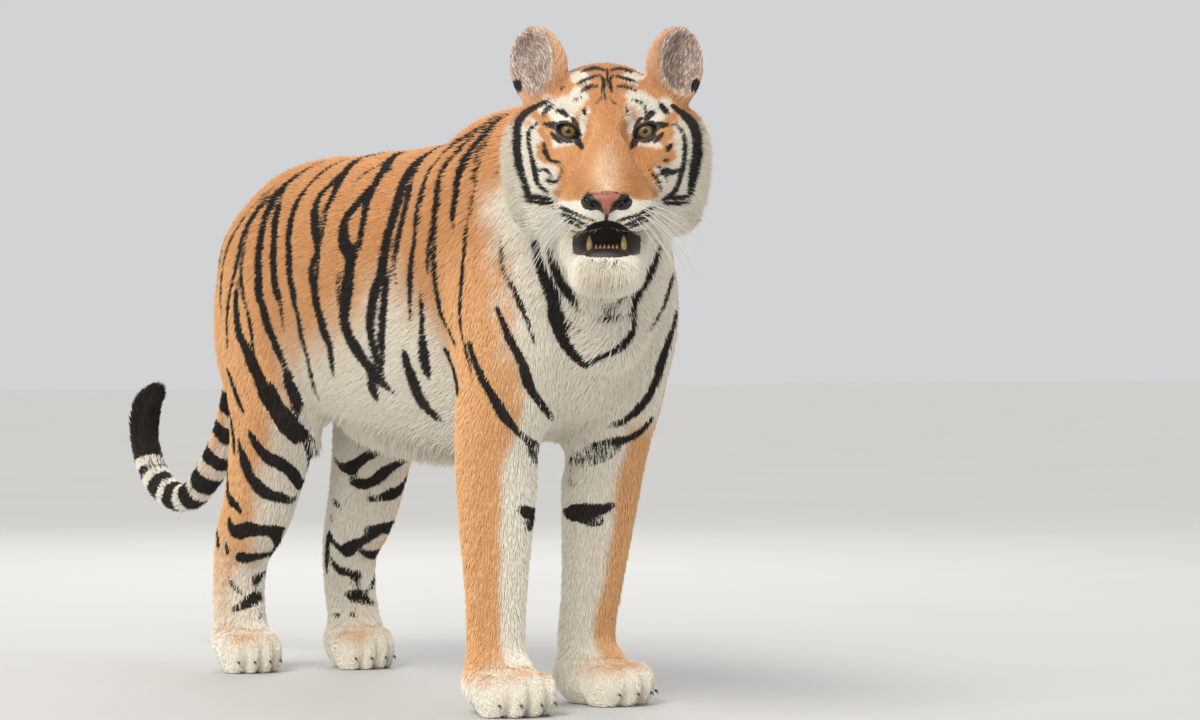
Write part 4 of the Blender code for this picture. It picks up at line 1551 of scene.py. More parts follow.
    def lid_edge(self, side: int, turn: float) -> tuple[float, float]:
        """A place on the almond between the lids, across and up in the eye's frame.

        Args:
            side: which eye.
            turn: angle round the almond, 0 at the outer corner.

        Returns:
            Metres across and up.
        """
        half_width, half_height = self.eye_opening
        across = half_width * math.cos(turn)
        up = half_height * math.sin(turn) * (1 - 0.22 * math.cos(turn) ** 2)
        corner = 0.0042 * max(0.0, -math.cos(turn)) ** 6  # the inner corner runs out and down
        return side * (across - corner), up - 0.7 * corner

    def beyond_lids(self, points: np.ndarray) -> np.ndarray:
        """How far each point lies beyond the edge of the nearer eye's lids, seen from the front.

        Args:
            points: rows of x, y and z on the skin.

        Returns:
            Distances, negative between the lids.
        """
        half_width, half_height = self.eye_opening
        result = np.full(len(points), 1.0)
        for side in (1, -1):
            placed = np.array(self.eye_frame(side))
            local = (points - placed[:3, 3]) @ placed[:3, :3]
            out = np.maximum(np.hypot(local[:, 0], local[:, 2]), 1e-6)
            share = np.maximum(np.hypot(local[:, 0] / half_width, local[:, 2] / half_height), 1e-6)
            gap = np.where(np.abs(local[:, 1]) < 0.05, out * (1 - 1 / share), 1.0)
            result = np.minimum(result, gap)
        return result

    def opening(self, side: int) -> bpy.types.Object:
        """The almond between the lids as a prism to cut with.

        Args:
            side: 1 for the left eye and -1 for the right.

        Returns:
            The prism.
        """
        mesh = bmesh.new()
        ring = []
        for number in range(48):
            x, z = self.lid_edge(side, number * math.tau / 48)
            ring.append(mesh.verts.new((x, 0.0, z)))
        face = mesh.faces.new(ring)
        moved = bmesh.ops.extrude_face_region(mesh, geom=[face])
        top = [part for part in moved["geom"] if isinstance(part, bmesh.types.BMVert)]
        bmesh.ops.translate(mesh, vec=(0, -0.06, 0), verts=top)
        bmesh.ops.recalc_face_normals(mesh, faces=mesh.faces)
        bmesh.ops.transform(mesh, matrix=self.eye_frame(side), verts=mesh.verts)
        return mesh_object("opening", mesh)

    def unwrap(self, skin: bpy.types.Object) -> None:
        """Gives the skin its map of the finish.

        Args:
            skin: the finished skin.
        """
        skin.data.uv_layers.new(name="OFBake")
        bpy.context.view_layer.objects.active = skin
        skin.select_set(True)
        bpy.ops.object.mode_set(mode="EDIT")
        bpy.ops.mesh.select_all(action="SELECT")
        bpy.ops.uv.smart_project(angle_limit=math.radians(75), island_margin=0.001)
        bpy.ops.object.mode_set(mode="OBJECT")
        skin.select_set(False)


# Finishes


class Nodes:
    """A short way to write a material's nodes."""

    def __init__(self, name: str) -> None:
        """Starts a material with a Principled shader.

        Args:
            name: the material's name.
        """
        self.material = bpy.data.materials.new(name)
        self.material.use_nodes = True
        self.tree = self.material.node_tree
        self.shader = self.tree.nodes["Principled BSDF"]

    def add(self, kind: str, inputs: dict | None = None, **settings: object) -> bpy.types.Node:
        """Adds a node.

        Args:
            kind: the node's type without "ShaderNode".
            inputs: values or sockets for its inputs, by name or number.
            settings: the node's own settings.

        Returns:
            The node.
        """
        node = self.tree.nodes.new("ShaderNode" + kind)
        for name, value in settings.items():
            setattr(node, name, value)
        for name, value in (inputs or {}).items():
            self.feed(node.inputs[name], value)
        return node

    def feed(self, socket: Socket, value: object) -> None:
        """Links a socket to an input, or sets the input's own value.

        Args:
            socket: the input.
            value: a socket, a colour or a number.
        """
        if isinstance(value, Socket):
            self.tree.links.new(value, socket)
        elif isinstance(value, tuple) and socket.type == "RGBA":
            socket.default_value = (*value, 1)[:4]
        else:
            socket.default_value = value

    def number(self, name: str) -> Socket:
        """A number stored on the mesh."""
        return self.add("Attribute", attribute_name=name).outputs["Fac"]

    def math(self, operation: str, *values: object) -> Socket:
        """Works out a number from one or more."""
        return self.add("Math", dict(enumerate(values)), operation=operation).outputs[0]

    def between(self, value: object, low: float, high: float) -> Socket:
        """Rises smoothly from 0 at low to 1 at high."""
        inputs = {"Value": value, "From Min": low, "From Max": high}
        return self.add("MapRange", inputs, interpolation_type="SMOOTHSTEP").outputs["Result"]

    def mix(self, share: object, first: object, second: object) -> Socket:
        """Mixes two colours by a share."""
        return self.add("Mix", {0: share, 6: first, 7: second}, data_type="RGBA").outputs[2]

    def noise(self, scale: float, detail: float = 2, stretch: Triple = (1, 1, 1)) -> Socket:
        """Noise from 0 to 1 on the object's own coordinates.

        Args:
            scale: how fine it is.
            detail: how many finer layers it has.
            stretch: what the coordinates are multiplied by.

        Returns:
            The noise's socket.
        """
        place = self.add("Mapping", {"Vector": self.add("TexCoord").outputs["Object"], "Scale": stretch})
        inputs = {"Vector": place.outputs["Vector"], "Scale": scale, "Detail": detail, "Roughness": 0.5}
        return self.add("TexNoise", inputs).outputs["Fac"]

    def bump(self, height: Socket, strength: float, distance: float) -> Socket:
        """Turns a height into a normal."""
        inputs = {"Height": height, "Strength": strength, "Distance": distance}
        return self.add("Bump", inputs).outputs["Normal"]

    def finish(self, **inputs: object) -> bpy.types.Material:
        """Feeds the shader's inputs, with _ for a space, and gives the material.

        Args:
            inputs: values or sockets by the inputs' names.

        Returns:
            The material.
        """
        for name, value in inputs.items():
            self.feed(self.shader.inputs[name.replace("_", " ")], value)
        return self.material


@dataclass(frozen=True)
class Mottled:
    """A finish of two colours that run into one another."""

    name: str
    first: Triple
    second: Triple
    scale: float  # how fine the mottling is
    detail: float
    roughness: float
    stretch: Triple = (1, 1, 1)

    def material(self) -> bpy.types.Material:
        """Makes the material.

        Returns:
            A new material.
        """
        nodes = Nodes(self.name)
        colour = nodes.mix(nodes.noise(self.scale, self.detail, self.stretch), self.first, self.second)
        return nodes.finish(Base_Color=colour, Roughness=self.roughness)


IVORY = Mottled("teeth", (0.44, 0.30, 0.12), (0.28, 0.17, 0.07), 140, 3, 0.30)
WHISKER_HAIR = Mottled("whiskers", (0.88, 0.86, 0.80), (0.72, 0.68, 0.60), 60, 1, 0.38)
DARK_HORN = Mottled("claws", (0.10, 0.075, 0.05), (0.035, 0.026, 0.02), 120, 2, 0.35, (1, 1, 3))
LID_LEATHER = Mottled("lid_leather", (0.007, 0.006, 0.006), (0.016, 0.012, 0.011), 300, 2, 0.45)
PALE_FLOOR = Mottled("floor", (0.60, 0.592, 0.575), (0.64, 0.632, 0.615), 1.5, 2, 0.8)


@dataclass(frozen=True)
class CoatFinish:
    """The colours of the hair, the same on the tufts and on the skin under them."""

    rust: Triple = (0.70, 0.325, 0.120)
    sand: Triple = (0.86, 0.520, 0.250)
    cream: Triple = (0.95, 0.900, 0.790)
    ash: Triple = (0.400, 0.285, 0.255)
    black: Triple = (0.012, 0.0095, 0.008)
    # near-black of the bare leather on lips and lids; inside the mouth the same colour is painted shade
    leather_and_mouth_shade: Triple = (0.010, 0.008, 0.0075)
    edge: float = 0.0006  # half the width of a stripe's edge

    def colour(self, nodes: Nodes) -> Socket:
        """Mixes the colour from the numbers on the mesh.

        Args:
            nodes: the material to add to.

        Returns:
            The colour's socket.
        """
        patches = nodes.noise(26, 3)
        uneven = nodes.math("MULTIPLY", nodes.math("SUBTRACT", patches, 0.5), 0.5)
        warm = nodes.math("ADD", nodes.number("warm"), uneven)
        base = nodes.mix(nodes.between(warm, 0.0, 1.0), self.sand, self.rust)
        base = nodes.mix(nodes.between(nodes.number("pale"), 0.08, 0.92), base, self.cream)
        base = nodes.mix(nodes.number("ash"), base, self.ash)
        tone = nodes.number("tone")
        shaded = nodes.mix(0.55, base, (0.26, 0.125, 0.055))
        base = nodes.mix(nodes.math("MULTIPLY", tone, 0.26), base, shaded)
        strands = nodes.math("MULTIPLY", nodes.math("SUBTRACT", nodes.noise(420, 2), 0.5), 0.004)
        dark = nodes.between(nodes.math("ADD", nodes.number("stripe"), strands), -self.edge, self.edge)
        black = nodes.mix(nodes.math("MULTIPLY", tone, 0.35), self.black, (0.055, 0.036, 0.026))
        return nodes.mix(dark, base, black)

    def tufts(self) -> bpy.types.Material:
        """The finish of the tufts, darker at their roots as painted shade deep in the coat.

        Returns:
            The material.
        """
        nodes = Nodes("coat_hair")
        colour = self.colour(nodes)
        # painted shade: each tuft darkens towards its root, where it lies under the tufts round it
        root_shade = nodes.math("MULTIPLY", nodes.between(nodes.number("along"), 0.45, 0.0), 0.25)
        colour = nodes.mix(root_shade, colour, nodes.mix(0.75, colour, (0.10, 0.045, 0.02)))
        nodes.shader.inputs["Specular IOR Level"].default_value = 0.32
        nodes.shader.inputs["Sheen Weight"].default_value = 0.12
        return nodes.finish(Base_Color=colour, Roughness=0.62)

    def skin(self) -> bpy.types.Material:
        """The finish of the skin: short hair as bump, a darker colour as painted shade under the tufts, and
        bare leather on lips, lids and pads, whose near-black also paints the shade inside the mouth.

        Returns:
            The material.
        """
        nodes = Nodes("coat_skin")
        colour = self.colour(nodes)
        # painted shade: the skin between and under the tufts is darkened towards brown
        colour = nodes.mix(0.25, colour, nodes.mix(0.7, colour, (0.20, 0.11, 0.06)))
        # bare leather on lips and lids is their own black; inside the mouth the same near-black is painted
        # shade
        bare_and_mouth_shade = nodes.between(nodes.number("bare_and_mouth_shade"), 0.4, 0.6)
        leather_and_mouth_shade = nodes.mix(nodes.noise(160, 3), self.leather_and_mouth_shade, (0.060, 0.045, 0.042))
        colour = nodes.mix(bare_and_mouth_shade, colour, leather_and_mouth_shade)
        bump = nodes.bump(nodes.noise(900, 3, (1, 0.25, 1)), 0.5, 0.0012)
        rough = nodes.math("SUBTRACT", 0.75, nodes.math("MULTIPLY", bare_and_mouth_shade, 0.38))
        return nodes.finish(Base_Color=colour, Roughness=rough, Normal=bump)


# The coat

COAT_SLOTS = {Zone.HEAD: "face_coat", Zone.EAR: "ear_coat", Zone.TAIL: "tail_coat", Zone.PAW: "paw_coat"}
TUFT_ALONG = (0.0, 0.0, 0.35, 1.0)  # where a tuft's corners lie from its root to its tip
TUFT_FLOOR = (0.0004, 0.0004, 0.0012, 0.0008)  # the least heights of its corners


@dataclass
class Coat:
    """The tufts that cover the skin, in joined meshes."""

    anatomy: Anatomy
    pelage: Pelage
    markings: Markings
    sculptor: Skin
    skin: bpy.types.Object
    finish: CoatFinish
    most: int = 345_000  # tufts in all
    each: int = 49_000  # tufts in one mesh
    patch: float = 0.003  # width of a tuft's place on the map
    sink: float = 0.0006  # how far a tuft's root lies under the skin
    ridge: Triple = (0.32, 0.38, 0.22)  # its place as shares of the length, the rise and the width
    tip_rise: float = 0.92
    turn: float = 0.16  # how unevenly the tufts lie
    jag: float = 0.0007  # how ragged the stripes' edges are
    white_hairs: float = 0.30  # share of white tufts in the ears' bowls
    pieces: list = field(default_factory=list)

    def measure_skin(self) -> None:
        """Works out and stores the markings on the skin's own points."""
        self.nose_form = Face(self.anatomy).nose_form()
        data = self.skin.data
        self.points = read(data, "vertices")
        self.normals = read(data, "", normals=True)
        self.shares = self.pelage.shares(self.points)
        self.pale, self.warm, self.bare_and_mouth_shade = self.shade(self.points, self.normals, self.shares)
        stripe = self.stripes(self.points, self.normals, self.shares)
        stripe += 0.0010 * self.shares[Zone.HEAD]
        numbers = {"pale": self.pale, "warm": self.warm, "bare_and_mouth_shade": self.bare_and_mouth_shade, "stripe": stripe}
        numbers |= {"ash": self.ash(self.points, self.shares), "tone": np.full(len(self.points), 0.4)}
        for name, values in numbers.items():
            keep_number(data, name, values)

    def shade(self, points: np.ndarray, normals: np.ndarray, shares: Shares) -> Arrays:
        """Works out where the coat is pale, how warm its orange is, and where the skin is bare leather or
        painted shade inside the mouth.

        Args:
            points: rows of x, y and z on the skin.
            normals: outward directions there.
            shares: the zones' shares there.

        Returns:
            Shares from 0 to 1: pale, warm, and bare with the painted shade inside the mouth.
        """
        body = self.anatomy
        x, y, z = points.T
        uneven = 0.016 * wobble(points, 0.09, 5)
        inward = -np.sign(x) * normals[:, 0]
        down, ahead = -normals[:, 2], -normals[:, 1]
        height = z + uneven
        fold = 0.10 * np.exp(-(((y + 0.19) / 0.15) ** 2)) - 0.05 * smooth(0.10, 0.30, y)
        trunk = np.maximum(smooth(0.71, 0.47, height - fold), smooth(0.2, 0.9, down))
        across, forward = (turning(-self.markings.view_yaw)[:, axis] for axis in (0, 1))
        seen = points @ across + uneven
        chest = smooth(0.085, 0.185, seen - 0.14 * (0.77 - z)) * smooth(0.480, 0.425, seen)
        facing = smooth(-0.15, 0.30, -(normals @ forward))
        chest = chest * facing * smooth(-0.30, -0.42, y) * smooth(0.90, 0.80, z)
        trunk = np.maximum(trunk, chest)
        neck = np.max([chest, smooth(0.66, 0.50, height), smooth(0.3, 0.9, down)], axis=0)
        throat = smooth(0.86, 0.74, height) * smooth(-0.50, -0.62, y)
        local = body.head.into(points)
        back, up = local.T[1:]
        ruff = smooth(0.17, 0.10, back) * smooth(0.060, 0.015, up)
        neck = np.max([neck, ruff, throat * smooth(0.47, 0.44, seen)], axis=0)
        turned = inward - np.where(x > 0, 0.15, -0.33)
        fore = np.maximum(smooth(-0.28, 0.28, turned + uneven * 5), smooth(0.11, 0.04, height) * 0.6)
        fore = np.maximum(fore * smooth(0.72, 0.60, z), chest * smooth(0.42, 0.50, z))
        hind = np.maximum(smooth(-0.1, 0.5, inward + uneven * 6), smooth(0.34, 0.08, height) * 0.65)
        hind = np.maximum(hind, smooth(0.1, 0.8, ahead + uneven * 5) * smooth(0.62, 0.45, z) * 0.8)
        hind = hind * smooth(0.74, 0.55, z)
        paw = 0.35 + 0.60 * smooth(0.085, 0.045, height)
        route = body.tail.nearest(points)[2] / (len(body.tail.rows) - 1)
        tail = np.maximum(0.15 + 0.85 * smooth(0.30, 0.62, route), smooth(0.0, 0.7, ahead) * 0.7)
        face, orange, bare_and_mouth_shade = self.face(points, normals)
        ear = np.maximum(smooth(-0.1, 0.3, self.ear_front(points, normals)) * 0.35, self.ear_spot(local))
        pale = {
            Zone.TRUNK: trunk, Zone.NECK: neck, Zone.FORELEG: fore, Zone.HINDLEG: hind,
            Zone.PAW: paw, Zone.TAIL: tail, Zone.HEAD: face, Zone.EAR: ear,
        }
        pale = sum(shares[zone] * value for zone, value in pale.items())
        warm = smooth(0.45, 0.95, z) * 0.50 + 0.10
        warm = warm * (1 - shares[Zone.HEAD]) + shares[Zone.HEAD] * orange
        return np.clip(pale, 0, 1), np.clip(warm, 0, 1), bare_and_mouth_shade

    def face(self, points: np.ndarray, normals: np.ndarray) -> Arrays:
        """Works out the face's own pale, warm and bare areas, the bare ones with the painted shade inside the
        mouth.

        Args:
            points: rows of x, y and z.
            normals: outward directions there.

        Returns:
            Shares from 0 to 1: pale, warm, and bare with the painted shade inside the mouth.
        """
        local = self.anatomy.head.into(points) * 1000
        across, back, up = np.abs(local[:, 0]), local[:, 1], local[:, 2]
        jag = 1 + 0.06 * wobble(points, 0.02, 8)
        pale = np.max([patch.share(across * jag, up * jag, 0.30) for patch in PALE_FACE], axis=0)
        orange = np.max([patch.share(across * jag, up, 0.40) for patch in ORANGE_FACE], axis=0)
        pale = np.maximum(pale * (1 - orange), 0.40 * BRIDGE.share(across, up, 0.5))
        behind = smooth(85, 125, back)
        pale = pale * (1 - behind) + behind * smooth(20, -60, up)
        low = smooth(-108, -120, up) * smooth(26, 14, across)
        cheek = smooth(-78, -104, up) * smooth(88, 112, across)
        jowl = smooth(-95, -125, up) * smooth(60, 80, across)
        pale = np.max([pale, low, smooth(-130, -165, up), cheek, jowl], axis=0)
        # painted shade: the skin in and round the mouth's hollow and the arch of the opening take the lips'
        # near-black, their real black on the lips and painted shade inside the mouth
        near_mouth = np.min([form.distance(local / 1000) for form, _ in self.anatomy.mouth()], axis=0)
        front = self.ear_front(points, normals) > 0.25
        arch = np.interp(-up, (137, 145, 149, 153, 160, 192), (1, 12, 26, 44, 52, 50))
        lips_and_mouth_shade = (up > -193 + across**2 / 300) & (up < -137) & (across < arch) & (back > -140) & (back < 10)
        reach = np.where(front, 0.0042, 0.0120)
        bare_and_mouth_shade = np.maximum((near_mouth < reach) & (across < 60) & (up < -132), lips_and_mouth_shade)
        bare_and_mouth_shade = np.maximum(bare_and_mouth_shade, smooth(0.0042, 0.0030, self.sculptor.beyond_lids(points)))
        bare_and_mouth_shade = np.maximum(bare_and_mouth_shade, smooth(0.0035, 0.0015, self.nose_form.distance(points)))
        warm = 0.50 - 0.25 * smooth(-20, -70, up) * smooth(40, 10, across) + 0.25 * smooth(60, 95, up)
        return pale, warm, bare_and_mouth_shade

    def ear_spot(self, local: np.ndarray) -> np.ndarray:
        """Whether each point of the head's frame lies in the pale spot on an ear's back."""
        away = np.hypot(np.abs(local[:, 0]) - 0.120, local[:, 2] - 0.115)
        return (away < 0.017) & (local[:, 1] > 0.075)

    def ash(self, points: np.ndarray, shares: Shares) -> np.ndarray:
        """How far each point lies in the greyish bowl of an ear, from 0 to 1.

        Args:
            points: rows of x, y and z on the skin.
            shares: the zones' shares there.

        Returns:
            Shares from 0 to 1.
        """
        local = self.anatomy.head.into(points)
        inside = self.anatomy.ear()[1].distance(local) + 0.0015 * wobble(points, 0.016, 3)
        return shares[Zone.EAR] * smooth(0.009, -0.001, inside)

    def ear_front(self, points: np.ndarray, normals: np.ndarray) -> np.ndarray:
        """How far an ear's skin faces forward, from -1 to 1."""
        return -(normals @ self.anatomy.head.axes)[:, 1]

    def stripes(self, points: np.ndarray, normals: np.ndarray, shares: Shares) -> np.ndarray:
        """Joins the strokes, the tail's rings and the ears' dark backs.

        Args:
            points: rows of x, y and z on the skin.
            normals: outward directions there.
            shares: the zones' shares there.

        Returns:
            Signed depths in all dark markings.
        """
        body, stripe = self.anatomy, self.markings.dark(points, normals)
        near = np.flatnonzero(shares[Zone.TAIL] > 0.5)
        if len(near):
            spans = np.linalg.norm(np.diff(body.tail.rows[:, :3], axis=0), axis=1)
            travelled = np.concatenate([[0], np.cumsum(spans)])
            place = body.tail.nearest(points[near])[2]
            back = (travelled[-1] - np.interp(place, np.arange(len(travelled)), travelled)) * 100
            back += 0.35 * wobble(points[near], 0.05, 9)
            stripe[near] = np.maximum(stripe[near], self.markings.rings.inside(back))
        near = np.flatnonzero(shares[Zone.EAR] > 0.5)
        if len(near):
            local = body.head.into(points[near])
            inner = body.ear()[1]
            behind = -self.ear_front(points[near], normals[near])
            backs = np.where((behind > 0.0) & (inner.distance(local) > 0.004), 0.004, -0.004)
            low = np.column_stack([(np.abs(local[:, 0]) - 0.136) * 1.5, (local[:, 2] - 0.064) * 0.62])
            base = 0.012 - np.linalg.norm(low, axis=1)
            backs = np.where(self.ear_spot(local), -0.01, backs)
            dark = np.max([stripe[near], backs, base], axis=0)
            stripe[near] = np.where(local[:, 2] < 0.060, stripe[near], dark)
        return stripe

    def scatter(self, random: np.random.Generator, count: int) -> Arrays:
        """Spreads roots over the skin, as close together as the zones' hair is.

        Args:
            random: gives the random draws.
            count: how many roots.

        Returns:
            The roots, the skin's outward directions there and their places on its map.
        """
        data = self.skin.data
        data.calc_loop_triangles()
        corners, loops = np.empty((2, len(data.loop_triangles) * 3), np.int32)
        data.loop_triangles.foreach_get("vertices", corners)
        data.loop_triangles.foreach_get("loops", loops)
        corners, loops = corners.reshape(-1, 3), loops.reshape(-1, 3)
        flat = np.empty(len(data.loops) * 2, np.float32)
        data.uv_layers["OFBake"].data.foreach_get("uv", flat)
        places = flat.reshape(-1, 2)
        a, b, c = (self.points[corners[:, number]] for number in range(3))
        area = np.linalg.norm(np.cross(b - a, c - a), axis=1) / 2
        density = self.pelage.blend(self.shares, "density") * (self.bare_and_mouth_shade < 0.5) * (self.points[:, 2] > 0.003)
        wanted = area * density[corners].mean(axis=1)
        LOG.info("coat: %.0f tufts wanted, %d grown", wanted.sum(), count)
        edges = np.cumsum(wanted) / wanted.sum()
        chosen = np.searchsorted(edges, (np.arange(count) + random.uniform(size=count)) / count)
        chosen = np.minimum(chosen, len(corners) - 1)
        first, second = random.uniform(size=(2, count))
        fold = first + second > 1
        first[fold], second[fold] = 1 - first[fold], 1 - second[fold]
        mix = np.column_stack([1 - first - second, first, second])[:, :, None]
        roots = (self.points[corners[chosen]] * mix).sum(axis=1)
        normals = unit((self.normals[corners[chosen]] * mix).sum(axis=1))
        return roots, normals, (places[loops[chosen]] * mix).sum(axis=1)

    def grow(self) -> None:
        """Grows all tufts and joins them in pieces."""
        random = np.random.default_rng(SEED)
        count = self.most
        roots, normals, uv = self.scatter(random, count)
        shares = self.pelage.shares(roots)
        pale, warm, _ = self.shade(roots, normals, shares)
        lie = self.pelage.lie(roots, normals, shares)
        length, width, lift = self.pelage.hair(roots, shares)
        tone = random.uniform(size=count) ** 1.6
        side = np.cross(lie, normals)
        lie = unit(lie + side * random.normal(0, self.turn, count)[:, None])
        side = np.cross(lie, normals)
        length = length * random.uniform(0.75, 1.25, count)
        width = width * random.uniform(0.8, 1.2, count) * 1.0
        rise = np.tan(np.radians(lift * random.uniform(0.6, 1.4, count)))
        half, sunk = side * (width / 2)[:, None], normals * self.sink
        ridge_along, ridge_rise, ridge_width = self.ridge
        ridge = ridge_rise * length * rise + ridge_width * width
        shape = np.stack(
            [
                roots - half - sunk,
                roots + half - sunk,
                roots + lie * (ridge_along * length)[:, None] + normals * ridge[:, None],
                roots + lie * length[:, None] + normals * (self.tip_rise * length * rise)[:, None],
            ],
            axis=1,
        )
        shape[..., 2] = np.maximum(shape[..., 2], TUFT_FLOOR)
        at_root = self.stripes(roots, normals, shares)
        at_tip = self.stripes(roots + lie * (0.9 * length)[:, None], normals, shares)
        ragged = random.normal(0, self.jag, count)
        along = np.array(TUFT_ALONG)
        stripe = (at_root + ragged)[:, None] + (at_tip - at_root)[:, None] * along
        ash = self.ash(roots, shares)
        streak = (random.uniform(size=count) < self.white_hairs) & (ash > 0.5)
        pale, ash = np.where(streak, 1.0, pale), np.where(streak, 0.0, ash)
        numbers = {"pale": pale, "warm": warm, "stripe": stripe, "tone": tone, "ash": ash}
        weights = np.column_stack([shares[zone] for zone in Zone])
        owner = np.array([COAT_SLOTS.get(zone, "body_coat") for zone in Zone])[weights.argmax(axis=1)]
        for slot in sorted(set(owner)):
            mine = np.flatnonzero(owner == slot)
            mine = mine[np.argsort(roots[mine, 1], kind="stable")]
            for number, part in enumerate(np.array_split(mine, math.ceil(len(mine) / self.each)), start=1):
                chosen_numbers = {name: values[part] for name, values in numbers.items()}
                piece = self.join(f"{slot}_{number}", shape[part], uv[part], chosen_numbers)
                self.pieces.append((piece, slot))

    def join(
        self, name: str, shape: np.ndarray, uv: np.ndarray, numbers: dict[str, np.ndarray]
    ) -> bpy.types.Object:
        """Makes one mesh of many tufts, each a thin closed wedge of four faces.

        Args:
            name: the piece's name.
            shape: for each tuft, its two root corners, its ridge and its tip.
            uv: for each tuft, the place of its root on the skin's map.
            numbers: for each tuft, what its finish reads.

        Returns:
            The new piece.
        """
        count = len(shape)
        data = bpy.data.meshes.new(name)
        faces = np.array(((0, 1, 3), (0, 2, 1), (1, 2, 3), (2, 0, 3)))
        corners = (np.arange(count)[:, None, None] * 4 + faces).ravel()
        data.vertices.add(count * 4)
        data.loops.add(len(corners))
        data.polygons.add(count * 4)
        data.vertices.foreach_set("co", shape.astype(np.float32).ravel())
        data.loops.foreach_set("vertex_index", corners.astype(np.int32))
        data.polygons.foreach_set("loop_start", np.arange(count * 4, dtype=np.int32) * 3)
        data.update(calc_edges=True)
        half = self.patch / 2
        spread = np.array(((-half, -half), (half, -half), (0, 0), (0, half)))
        places = (uv[:, None, :] + spread[None]).reshape(-1, 2)[corners]
        data.uv_layers.new(name="OFBake").data.foreach_set("uv", places.astype(np.float32).ravel())
        for key, values in numbers.items():
            keep_number(data, key, values.ravel() if values.ndim == 2 else np.repeat(values, 4))
        keep_number(data, "along", np.tile(TUFT_ALONG, count))
        data.shade_flat()
        data.materials.append(self.tuft_finish)
        return linked(name, data)

    def build(self) -> list[tuple[bpy.types.Object, str]]:
        """Marks the skin and grows the coat on it.

        Returns:
            The coat's pieces with their slots.
        """
        self.measure_skin()
        self.tuft_finish = self.finish.tufts()
        self.skin.data.materials.clear()
        self.skin.data.materials.append(self.finish.skin())
        self.skin.data.shade_smooth()
        self.grow()
        return self.pieces


# The eyes


@dataclass
class Eye:
    """One eyeball with its iris, and the dark edge of the lids round it."""

    skin: Skin
    side: int
    name: str
    iris: float = 0.0118  # its radius
    pupil: float = 0.0042
    bulge: float = 0.0012  # how far the cornea stands out
    rim: float = 0.0011  # radius of the lids' edge
    rim_depth: float = 0.0012  # of that edge's middle under the outline of the solids

    def ball(self) -> bpy.types.Object:
        """Builds the eyeball.

        Returns:
            The eyeball, its pole forward.
        """
        mesh = bmesh.new()
        radius = self.skin.ball
        bmesh.ops.create_uvsphere(mesh, u_segments=64, v_segments=48, radius=radius)
        bmesh.ops.rotate(mesh, matrix=Matrix.Rotation(math.radians(90), 3, "X"), verts=mesh.verts)
        ring = mesh.verts.layers.float.new("ring")
        for vertex in mesh.verts:
            out = math.hypot(vertex.co.x, vertex.co.z) if vertex.co.y < 0 else radius
            vertex[ring] = out
            share = min(1.0, out / self.iris)
            vertex.co.y -= self.bulge * (1 - share * share) ** 1.5
        bmesh.ops.transform(mesh, matrix=self.skin.eye_frame(self.side), verts=mesh.verts)
        item = mesh_object(self.name + "_ball", mesh)
        item.data.shade_smooth()
        return item

    def finish(self) -> bpy.types.Material:
        """The finish of the eyeball: a dark pupil in an amber iris with a dark edge, under a clear gloss.

        Returns:
            The material.
        """
        nodes = Nodes("eye")
        ring = nodes.number("ring")
        fibre = nodes.noise(700, 4)
        outward = nodes.between(ring, self.pupil, self.iris * 0.9)
        iris = nodes.mix(outward, (0.36, 0.21, 0.060), (0.20, 0.145, 0.055))
        iris = nodes.mix(nodes.between(fibre, 0.35, 0.7), iris, (0.10, 0.065, 0.02))
        iris = nodes.mix(nodes.between(ring, self.iris * 0.80, self.iris), iris, (0.012, 0.008, 0.006))
        pupil = nodes.between(ring, self.pupil + 0.0003, self.pupil - 0.0003)
        colour = nodes.mix(pupil, iris, (0.003, 0.003, 0.003))
        colour = nodes.mix(nodes.between(ring, self.iris, self.iris + 0.0006), colour, (0.05, 0.035, 0.03))
        nodes.shader.inputs["Coat Weight"].default_value = 0.30
        nodes.shader.inputs["Specular IOR Level"].default_value = 0.25
        nodes.shader.inputs["Coat Roughness"].default_value = 0.03
        return nodes.finish(Base_Color=colour, Roughness=0.35)

    def lids(self) -> bpy.types.Object:
        """Builds the dark edge of the lids.

        Returns:
            A closed tube round the opening.
        """
        count, body = 60, self.skin.anatomy
        frame_of_eye = np.array(self.skin.eye_frame(self.side))
        edge = np.array([self.skin.lid_edge(self.side, number * math.tau / count) for number in range(count)])
        local = np.column_stack([edge[:, 0], np.full(count, -0.05), edge[:, 1]])
        origins = local @ frame_of_eye[:3, :3].T + frame_of_eye[:3, 3]
        ways = np.tile(frame_of_eye[:3, 1], (count, 1))
        points, _ = cast(body.whole, self.rim_depth, origins, ways)
        curve = bpy.data.curves.new("lids", "CURVE")
        curve.dimensions = "3D"
        curve.bevel_depth, curve.bevel_resolution = self.rim, 3
        line = curve.splines.new("POLY")
        line.points.add(count - 1)
        line.use_cyclic_u = True
        line.points.foreach_set("co", np.column_stack([points, np.ones(count)]).ravel())
        return as_mesh(linked(self.name + "_lids", curve))


def as_mesh(item: bpy.types.Object) -> bpy.types.Object:
    """Turns a curve object into a mesh object of the same name.

    Args:
        item: the curve object, which is removed.

    Returns:
        The mesh object.
    """
    data, name = evaluated(item), item.name
    remove(item)
    data.shade_smooth()
    return linked(name, data)


def hairs(
    name: str, lines: list[np.ndarray], radius: float, taper: float = 0.15, resolution: int = 1
) -> bpy.types.Object:
    """Builds thin tapered tubes along lines.

    Args:
        name: the object's name.
        lines: rows of points for each tube, from its root.
        radius: the tubes' radius at the root.
        taper: the radius at the tip as a share.
        resolution: the fineness of the tubes' sections.

    Returns:
        One mesh object of all tubes.
    """
    curve = bpy.data.curves.new(name, "CURVE")
    curve.dimensions = "3D"
    curve.bevel_depth, curve.bevel_resolution, curve.use_fill_caps = radius, resolution, True
    for points in lines:
        line = curve.splines.new("POLY")
        line.points.add(len(points) - 1)
        line.points.foreach_set("co", np.column_stack([points, np.ones(len(points))]).ravel())
        share = np.linspace(0, 1, len(points))
        line.points.foreach_set("radius", 1 - (1 - taper) * share**1.3)
    return as_mesh(linked(name, curve))


